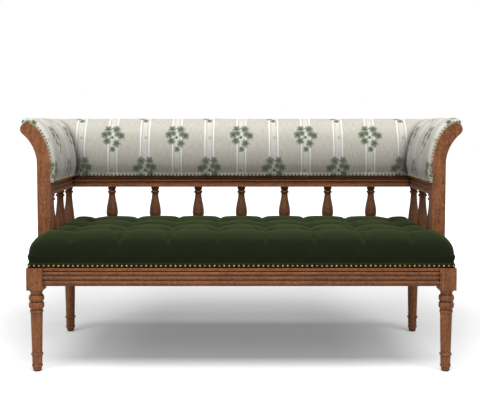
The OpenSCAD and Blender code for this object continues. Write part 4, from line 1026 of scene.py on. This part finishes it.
def tuft_gap(points):
    """How far each point is, in plan, from the nearest button, across and front to back."""
    x, y = points[:, 0] - TUFT_FIRST_X, points[:, 1] - TUFT_FIRST_Y
    column = np.clip(np.round(x / TUFT_X), 0, TUFT_COLUMNS - 1)
    row = np.clip(np.round(y / TUFT_Y), 0, TUFT_ROWS - 1)
    return x - column * TUFT_X, y - row * TUFT_Y


def filled_out(points, faces):
    trial = new_piece("trial_cover", points, faces, VELVET)
    trial.data.update()
    gap = np.hypot(*tuft_gap(points))
    held = trial.vertex_groups.new(name="held")
    for k in np.flatnonzero((gap < HELD_ROUND) & (points[:, 2] > HELD_OVER)
                            | (points[:, 2] < NAILED_UNDER)):
        held.add([int(k)], 1.0, "REPLACE")
    cloth = trial.modifiers.new("filling", "CLOTH")
    for name, setting in FILLING.items():
        setattr(cloth.settings, name, setting)
    cloth.settings.effector_weights.gravity = 0.0
    cloth.settings.vertex_group_mass = held.name
    cloth.collision_settings.use_collision = False
    cloth.point_cache.frame_start, cloth.point_cache.frame_end = 1, FRAMES
    for number in range(1, FRAMES + 1):
        bpy.context.scene.frame_set(number)
    ready = trial.evaluated_get(bpy.context.evaluated_depsgraph_get())
    moved = np.empty(len(points) * 3)
    ready.data.vertices.foreach_get("co", moved)
    bpy.context.scene.frame_set(1)
    bpy.data.objects.remove(trial)
    return moved.reshape(-1, 3) * 1000


def kept_in(points, moved):
    """The moved points with their move capped, and kept off the posts, balusters and rails."""
    move = moved - points
    far = np.linalg.norm(move, axis=1, keepdims=True)
    x, y, z = (points + move * np.minimum(1.0, MOST_MOVE / np.maximum(far, 1e-6))).T
    across = np.abs(points[:, 0])
    beside = (across < SEAT_IN_X + 1) & (points[:, 1] > SEAT_NOTCH - 1)
    wide = np.where(beside, SEAT_IN_X + CLEAR_HELD, SEAT_X + CLEAR_FREE)
    rear = np.where((across > SEAT_IN_X - 1) & ~beside, SEAT_NOTCH, SEAT_REAR) + CLEAR_HELD
    return np.stack([np.clip(x, -wide, wide), np.clip(y, SEAT_FRONT - CLEAR_FREE, rear), z], axis=-1)


before = seat_points
seat_points = kept_in(seat_points, filled_out(seat_points, seat_faces))
print("the filling moved the cover by up to", round(float(np.abs(seat_points - before).max()), 1), "mm")

# %% [markdown]
# ### Pleats and the underside
#
# From each button of the front row a shallow pleat runs down the front of the cushion, and
# between buttons a crease runs along the line. Both are narrower than the simulation's mesh can
# hold, so they go in after it. Round each button short puckers fan out, where the twine gathers
# the velvet. Then the cover gets its underside: a narrow turned-in edge, an inside wall and a
# ceiling that lies on the foam slab.

# %% Pleats and creases
PLEAT_DEEP, CREASE_DEEP, PUCKER_DEEP, PUCKERS = 0.9, 1.2, 0.9, 8


def pleats(points):
    """Draws the sides in along the lines of the buttons, and sharpens the lines on the top."""
    moved = points.copy()
    x, y, z = points.T
    near_x, near_y = tuft_gap(points)
    on_side = ramp(z, 350.0, 362.0) * ramp(z, 425.0, 400.0)
    fold_x, fold_y = [PLEAT_DEEP * bell(near, 3.4) * on_side for near in (near_x, near_y)]
    moved[:, 1] += np.where(y < SEAT_FRONT + 40, fold_x, np.where(y > SEAT_REAR - 25, -fold_x, 0.0))
    moved[:, 0] -= np.sign(x) * np.where(np.abs(x) > SEAT_IN_X - 25, fold_y, 0.0)
    crease = sum(bell(near, 3.6) * ramp(np.abs(along), 10.0, 30.0)
                 for near, along in ((near_x, near_y), (near_y, near_x)))
    gap, turn = np.hypot(near_x, near_y), np.arctan2(near_y, near_x)
    pucker = PUCKER_DEEP * np.cos(PUCKERS * turn) * bell(gap - 22, 11)
    moved[:, 2] += ramp(z, 402.0, 417.0) * (pucker - CREASE_DEEP * crease)
    return moved


# %% Underside and finish of the seat
TURNED_IN, WALL = 5.0, 9.5


def inset(place, by):
    """A place on the foot of the T moved in from its edge."""
    across, y = abs(place[0]), place[1]
    if y > SEAT_NOTCH + 1.5:
        across = min(across, SEAT_IN_X - by)
    elif y > SEAT_NOTCH - by:
        across = SEAT_IN_X - by if across < SEAT_IN_X + 1.5 else min(across, SEAT_X - by)
        y = SEAT_NOTCH - by
    else:
        across = min(across, SEAT_X - by)
    return math.copysign(across, place[0]), min(max(y, SEAT_FRONT + by), SEAT_REAR - by)


def closed_seat(points, faces, foot):
    """The cover with its turned-in edge, inside wall and ceiling, as points and faces."""
    shape = bmesh.new()
    made = [shape.verts.new(p) for p in points]
    for f in faces:
        shape.faces.new([made[k] for k in f])
    on_foot = sorted({k for pair in foot for k in pair})
    rings = [{k: made[k] for k in on_foot}]
    for by, z in ((TURNED_IN, SEAT_FOOT + 0.05), (WALL, SEAT_FOOT + 0.05), (WALL, FOAM_TOP)):
        rings.append({k: shape.verts.new((*inset(points[k], by), z)) for k in on_foot})
    for near, far in zip(rings, rings[1:]):
        for a, b in foot:
            shape.faces.new((near[a], near[b], far[b], far[a]))
    inner = [v for ring in rings[1:] for v in ring.values()]
    bmesh.ops.remove_doubles(shape, verts=inner, dist=0.02)
    bmesh.ops.triangle_fill(shape, use_beauty=True, edges=[e for e in shape.edges if e.is_boundary])
    bmesh.ops.recalc_face_normals(shape, faces=shape.faces)
    print("seat cover closed, open edges left:", sum(e.is_boundary for e in shape.edges))
    return taken_out(shape)


seat_cover = new_piece("velvet_seat", *closed_seat(pleats(seat_points), seat_faces, seat_foot), VELVET)
finer = seat_cover.modifiers.new("finer", "SUBSURF")
finer.levels = finer.render_levels = 1

# %% [markdown]
# ### Buttons
#
# Each button is a disc of card with velvet gathered over it, so its face is a low dome and its
# edge is round. The back goes down to a point where the twine pulls it into the tuft. One
# outline is turned round an axis for each of the twenty-four.

# %% Buttons in the tufts
AROUND, GATHERS, GATHER_DEEP = 28, 7, 0.018
BUTTON_LINE = ((0.05, 0.0), (1.2, 0.5), (3.6, 1.9), (6.0, 3.4), (7.5, 4.6), (8.0, 5.6), (7.9, 6.6),
               (7.1, 7.6), (5.6, 8.35), (3.7, 8.85), (1.8, 9.05), (0.05, 9.1))
button_foot = lowest("seat_buttons", 2)
points, faces = [], []
for row in range(TUFT_ROWS):
    for column in range(TUFT_COLUMNS):
        ring = len(points) + np.arange(AROUND)
        x, y = TUFT_FIRST_X + column * TUFT_X, TUFT_FIRST_Y + row * TUFT_Y
        for r, h in BUTTON_LINE:
            for turn in 2 * math.pi / AROUND * np.arange(AROUND):
                wide = r * (1 + GATHER_DEEP * math.cos(GATHERS * turn + row + column) * (3 < r < 8))
                points.append((x + wide * math.cos(turn), y + wide * math.sin(turn), button_foot + h))
        faces.append(ring[::-1].tolist())
        for _ in BUTTON_LINE[1:]:
            far = ring + AROUND
            faces += np.stack([ring, np.roll(ring, -1), np.roll(far, -1), far], axis=-1).tolist()
            ring = far
        faces.append(ring.tolist())
buttons = new_piece("velvet_buttons", points, faces, VELVET)
print("buttons:", TUFT_ROWS * TUFT_COLUMNS)

# %% [markdown]
# ## Inside the seat
#
# Under the velvet lie a foam slab, hessian, and webbing strained over the battens. They are
# hidden, but each is a piece of its own that could be taken out, so each has its true form: the
# foam has rounded edges, the hessian hangs between the straps by a hair, and the straps that
# run across step up over those that run from front to back.

# %% Foam slab
def both_halves(right):
    """A right-hand outline with its mirror image, all round."""
    return right + [(-x, y) for x, y in right[::-1]]


DRAWN_IN, FOAM_LIFT, FOAM_DOWN, FOAM_EDGE = 10.4, 0.2, 0.8, 4.0
T_PLAN = both_halves([(x - DRAWN_IN, y) for x, y in (
    (SEAT_X, SEAT_FRONT + DRAWN_IN), (SEAT_X, SEAT_NOTCH - DRAWN_IN),
    (SEAT_IN_X, SEAT_NOTCH - DRAWN_IN), (SEAT_IN_X, SEAT_REAR - DRAWN_IN))])


def seat_foam():
    shape = bmesh.new()
    low, high = [[shape.verts.new((x, y, z)) for x, y in T_PLAN]
                 for z in (lowest("seat_foam", 2) + FOAM_LIFT, highest("seat_foam", 2) - FOAM_DOWN)]
    shape.faces.new(low[::-1])
    shape.faces.new(high)
    for k in range(len(T_PLAN)):
        n = (k + 1) % len(T_PLAN)
        shape.faces.new((low[k], low[n], high[n], high[k]))
    bmesh.ops.bevel(shape, geom=list(shape.edges), offset=FOAM_EDGE, segments=3, affect="EDGES", profile=0.5)
    bmesh.ops.triangulate(shape, faces=[f for f in shape.faces if len(f.verts) > 4])
    bmesh.ops.recalc_face_normals(shape, faces=shape.faces)
    return new_piece("seat_foam_slab", *taken_out(shape), FOAM)


foam_slab = seat_foam()
print("foam slab:", [round(v * 1000) for v in foam_slab.dimensions])

# %% Webbing
BATTEN_W, WEB_W, WEB_T, WEB_STEP, WEB_COLUMNS, WEB_ROWS = 45.0, 50.0, 1.5, 8.0, 9, 3
batten_x = highest("seat_side_battens", 0)
batten_front, batten_rear = lowest("seat_front_batten", 1), highest("seat_rear_batten", 1)
column_pitch = 2 * (batten_x - BATTEN_W) / WEB_COLUMNS
row_pitch = (batten_rear - batten_front - 2 * BATTEN_W) / WEB_ROWS
STRAP_THICK, STRAP_DOWN, EDGE_DOWN, STRAP_OVER = 1.3, 0.08, 0.12, WEB_T + 0.2
step_end = batten_x - WEB_STEP - (BATTEN_W - 2 * WEB_STEP)
straps = []


def add_strap(name, ends, middle, lifts, lengthwise, battens):
    """A strap along X or Y. lifts gives heights at places along it."""
    along = np.linspace(ends[0], ends[1], 90)
    lift = np.interp(along, *zip(*lifts))
    rows = []
    for w in np.linspace(-WEB_W / 2, WEB_W / 2, 7):
        edge = EDGE_DOWN if abs(w) > WEB_W / 2 - 1 else 0.0
        z = lowest("seat_webbing", 2) + WEB_T - STRAP_DOWN + lift - edge
        across = np.full_like(along, middle + w)
        rows.append(np.stack([across, along, z] if lengthwise else [along, across, z], axis=-1))
    points = np.array(rows)
    piece = cloth_grid(name, points, points[..., :2], (0.0, 0.0, 1.0), WEBBING, STRAP_THICK)
    straps.append((piece, ends[1] - ends[0], battens))


for i in range(WEB_COLUMNS):
    add_strap(f"webbing_front_to_back_{i + 1}", (batten_front + WEB_STEP, batten_rear - WEB_STEP),
              (i - (WEB_COLUMNS - 1) / 2) * column_pitch, [(0.0, 0.0)], True,
              ["seat_front_batten", "seat_rear_batten"])
for j in range(WEB_ROWS):
    add_strap(f"webbing_side_to_side_{j + 1}", (-batten_x + WEB_STEP, batten_x - WEB_STEP),
              batten_front + BATTEN_W + (j + 0.5) * row_pitch,
              [(-step_end, 0.0), (WEB_STEP - step_end, STRAP_OVER), (step_end - WEB_STEP, STRAP_OVER),
               (step_end, 0.0)],
              False, ["seat_side_battens"])
print("straps:", len(straps))


# %% Hessian and dust cloth
def filled(marks, widest=24.0):
    """Places that include all the marks, with gaps of about widest or less."""
    marks = sorted({round(mark, 3) for mark in marks})
    runs = [np.linspace(a, b, max(2, int((b - a) / widest) + 1))[:-1] for a, b in zip(marks, marks[1:])]
    return np.concatenate([*runs, marks[-1:]])


def flat_cloth(name, outline, z, sag, finish, thick):
    """A thin cloth with a slight sag. The runs of its outline all lie along X or Y."""
    lines_x, lines_y = [filled(marks) for marks in zip(*outline)]
    runs = list(zip(outline, outline[1:] + outline[:1]))
    x, y, faces = plan_grid(lines_x, lines_y, lambda x, y: sum(
        ((ay > y) != (by > y)) & (x < ax) for (ax, ay), (_, by) in runs) % 2 == 1)
    deep = np.minimum.reduce([x - lines_x[0], lines_x[-1] - x, y - lines_y[0], lines_y[-1] - y])
    uneven = 0.8 + 0.2 * np.sin(x * 0.02) * np.cos(y * 0.03)
    points = np.stack([x, y, z - sag * (1 - np.exp(-deep / 90.0)) * uneven], axis=-1)
    return thicken(new_piece(name, points, faces, finish, points[:, :2]), thick)


SHEET_DOWN, LEG_HALF, LEG_CUT, HESSIAN_SAG, DUST_SAG = 0.05, 26.0, 27.0, 0.15, 3.0
hessian = flat_cloth("hessian_sheet", T_PLAN, highest("seat_hessian", 2) - SHEET_DOWN, HESSIAN_SAG,
                     HESSIAN, 0.7)
dust_x, dust_front, dust_rear = highest("dust_cover", 0), lowest("dust_cover", 1), highest("dust_cover", 1)
cut_x, cut_rear = CORNER_X - LEG_CUT, CORNER_Y - LEG_CUT
cut_front = lowest("front_right_leg", 1) + LEG_HALF + LEG_CUT
dust_plan = both_halves([(cut_x, dust_front), (cut_x, cut_front), (dust_x, cut_front), (dust_x, cut_rear),
                         (cut_x, cut_rear), (cut_x, dust_rear)])
dust_cloth = flat_cloth("dust_cloth_sheet", dust_plan, highest("dust_cover", 2) - SHEET_DOWN, DUST_SAG,
                        DUST_CLOTH, 0.6)
print("hessian", round(area_of(hessian), 3), "and dust cloth", round(area_of(dust_cloth), 3), "square metres")

# %% [markdown]
# ## Which drawing pieces these stand for
#
# Each soft piece takes the place of its plain solid in the drawing, which is hidden, and rides
# on the root body. The table lists for each piece the name of its finish and the drawing piece
# that it stands for.

# %% Replace the plain solids
STANDS_FOR = [
    (back_cloth, "printed_cloth", "back_cover"),
    (arm_cloths[0], "printed_cloth", "right_arm_cover"),
    (arm_cloths[1], "printed_cloth", "left_arm_cover"),
    (back_outside, "printed_cloth", "back_outside"),
    (arm_outsides[0], "printed_cloth", "right_arm_outside"),
    (arm_outsides[1], "printed_cloth", "left_arm_outside"),
    (back_foam, "foam", "back_foam"),
    *[(pad, "foam", "arm_foams") for pad in arm_foams],
    (foam_slab, "foam", "seat_foam"),
    (seat_cover, "green_velvet", "seat_cover"),
    (buttons, "green_velvet", "seat_buttons"),
    (hessian, "jute", "seat_hessian"),
    (dust_cloth, "dust_cloth", "dust_cover"),
    *[(piece, "jute", "seat_webbing") for piece, _, _ in straps],
]
for piece, slot, node in STANDS_FOR:
    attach(piece, "root")
    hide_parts(node)
print("soft pieces:", len(STANDS_FOR))

# %% Each strap's length in metres, worked out and not kept
for piece, length, battens in straps:
    length / 1000

# %% [markdown]
# ## Floor, light and camera
#
# The bench stands on a plain white floor in soft studio light. A big lamp over and in front of
# it gives the soft pool of shade underneath, and the pale world fills the rest. To the camera
# the world is plain white, and so is it to polished things, which would mirror a dark room.
# The floor's own colour is nearly white. For the camera only, a painted glow lifts the floor
# far from the bench to full white, and near it paints light into the shade: a little all round,
# and more towards the camera and past the ends, so the shade there is fainter.

# %% Floor
FLOOR_GLOW, FLOOR_FRONT_GLOW, FLOOR_SIDE_GLOW = 0.06, 0.17, 0.11
WHITE = (1.0, 1.0, 1.0, 1.0)


@material("studio floor", {"Roughness": 0.9, "Specular IOR Level": 0.0, "Emission Color": WHITE})
def FLOOR(tree):
    x, y, _ = split(here(tree))
    behind = (abs(y - 0.3) - 0.75).math("MAXIMUM", 0.0)
    beside = (abs(x) - 0.70).math("MAXIMUM", 0.0)
    far = step((behind * behind + beside * beside).math("SQRT"), 0.0, 1.0)
    # Painted light in the bench's shade: a little glow all round, more under the front and past the ends.
    near = step(y, 0.45, -0.20) * FLOOR_FRONT_GLOW + FLOOR_GLOW + step(abs(x), 0.30, 0.62) * FLOOR_SIDE_GLOW
    glow = (far * -1.0 + 1.0) * near + far
    tone = blend(noise(here(tree), 60.0, 2.0), (0.90, 0.90, 0.90, 1.0), (0.93, 0.93, 0.93, 1.0))
    return {"Base Color": tone, "Emission Strength": get(tree, "LightPath", output="Is Camera Ray") * glow}


bpy.ops.mesh.primitive_plane_add(size=40.0, location=(0.0, 0.0, 0.0))
floor = bpy.context.object
floor.name = "studio_floor"
floor.data.materials.append(FLOOR)
print("floor laid")

# %% Light
WORLD_LIGHT = 0.30


def area_lamp(name, place, aim, size, watts):
    lamp = bpy.data.lights.new(name, "AREA")
    lamp.shape, lamp.energy = "RECTANGLE", watts
    lamp.size, lamp.size_y = size
    holder = bpy.data.objects.new(name, lamp)
    bpy.context.scene.collection.objects.link(holder)
    holder.location = place
    x, y, z = np.subtract(aim, place)
    holder.rotation_euler = (math.atan2(math.hypot(x, y), -z), 0.0, math.atan2(y, x) - math.pi / 2)


area_lamp("overhead softbox", (0.0, -1.45, 3.45), (0.0, 0.0, 0.4), (5.0, 1.7), 150.0)
area_lamp("front fill", (-1.2, -3.6, 1.3), (0.0, 0.0, 0.5), (2.6, 1.8), 4.0)

world = bpy.data.worlds.new("studio")
bpy.context.scene.world = world
world.use_nodes = True
sky = world.node_tree
for old in list(sky.nodes):
    sky.nodes.remove(old)
seen, glossy, through = [get(sky, "LightPath", output=ray)
                         for ray in ("Is Camera Ray", "Is Glossy Ray", "Is Transmission Ray")]
white = seen.math("MAXIMUM", glossy.math("MAXIMUM", through))
strength = white * (1.0 - WORLD_LIGHT) + WORLD_LIGHT
add(sky, "OutputWorld", {"Surface": get(sky, "Background", {"Color": WHITE, "Strength": strength})})

# %% Camera
EYE, LOOKS_DOWN = (0.0, -3.08954, 0.7804), 3.58
eye = bpy.data.cameras.new("photograph")
eye.sensor_width, eye.lens = 36.0, 66.64
eye.shift_x, eye.shift_y = -0.0029, -0.05625
camera = bpy.data.objects.new("photograph", eye)
bpy.context.scene.collection.objects.link(camera)
camera.location = EYE
camera.rotation_euler = (math.radians(90.0 - LOOKS_DOWN), 0.0, 0.0)
bpy.context.scene.camera = camera
bpy.context.scene.view_settings.view_transform = "Standard"
print("camera at", tuple(camera.location))
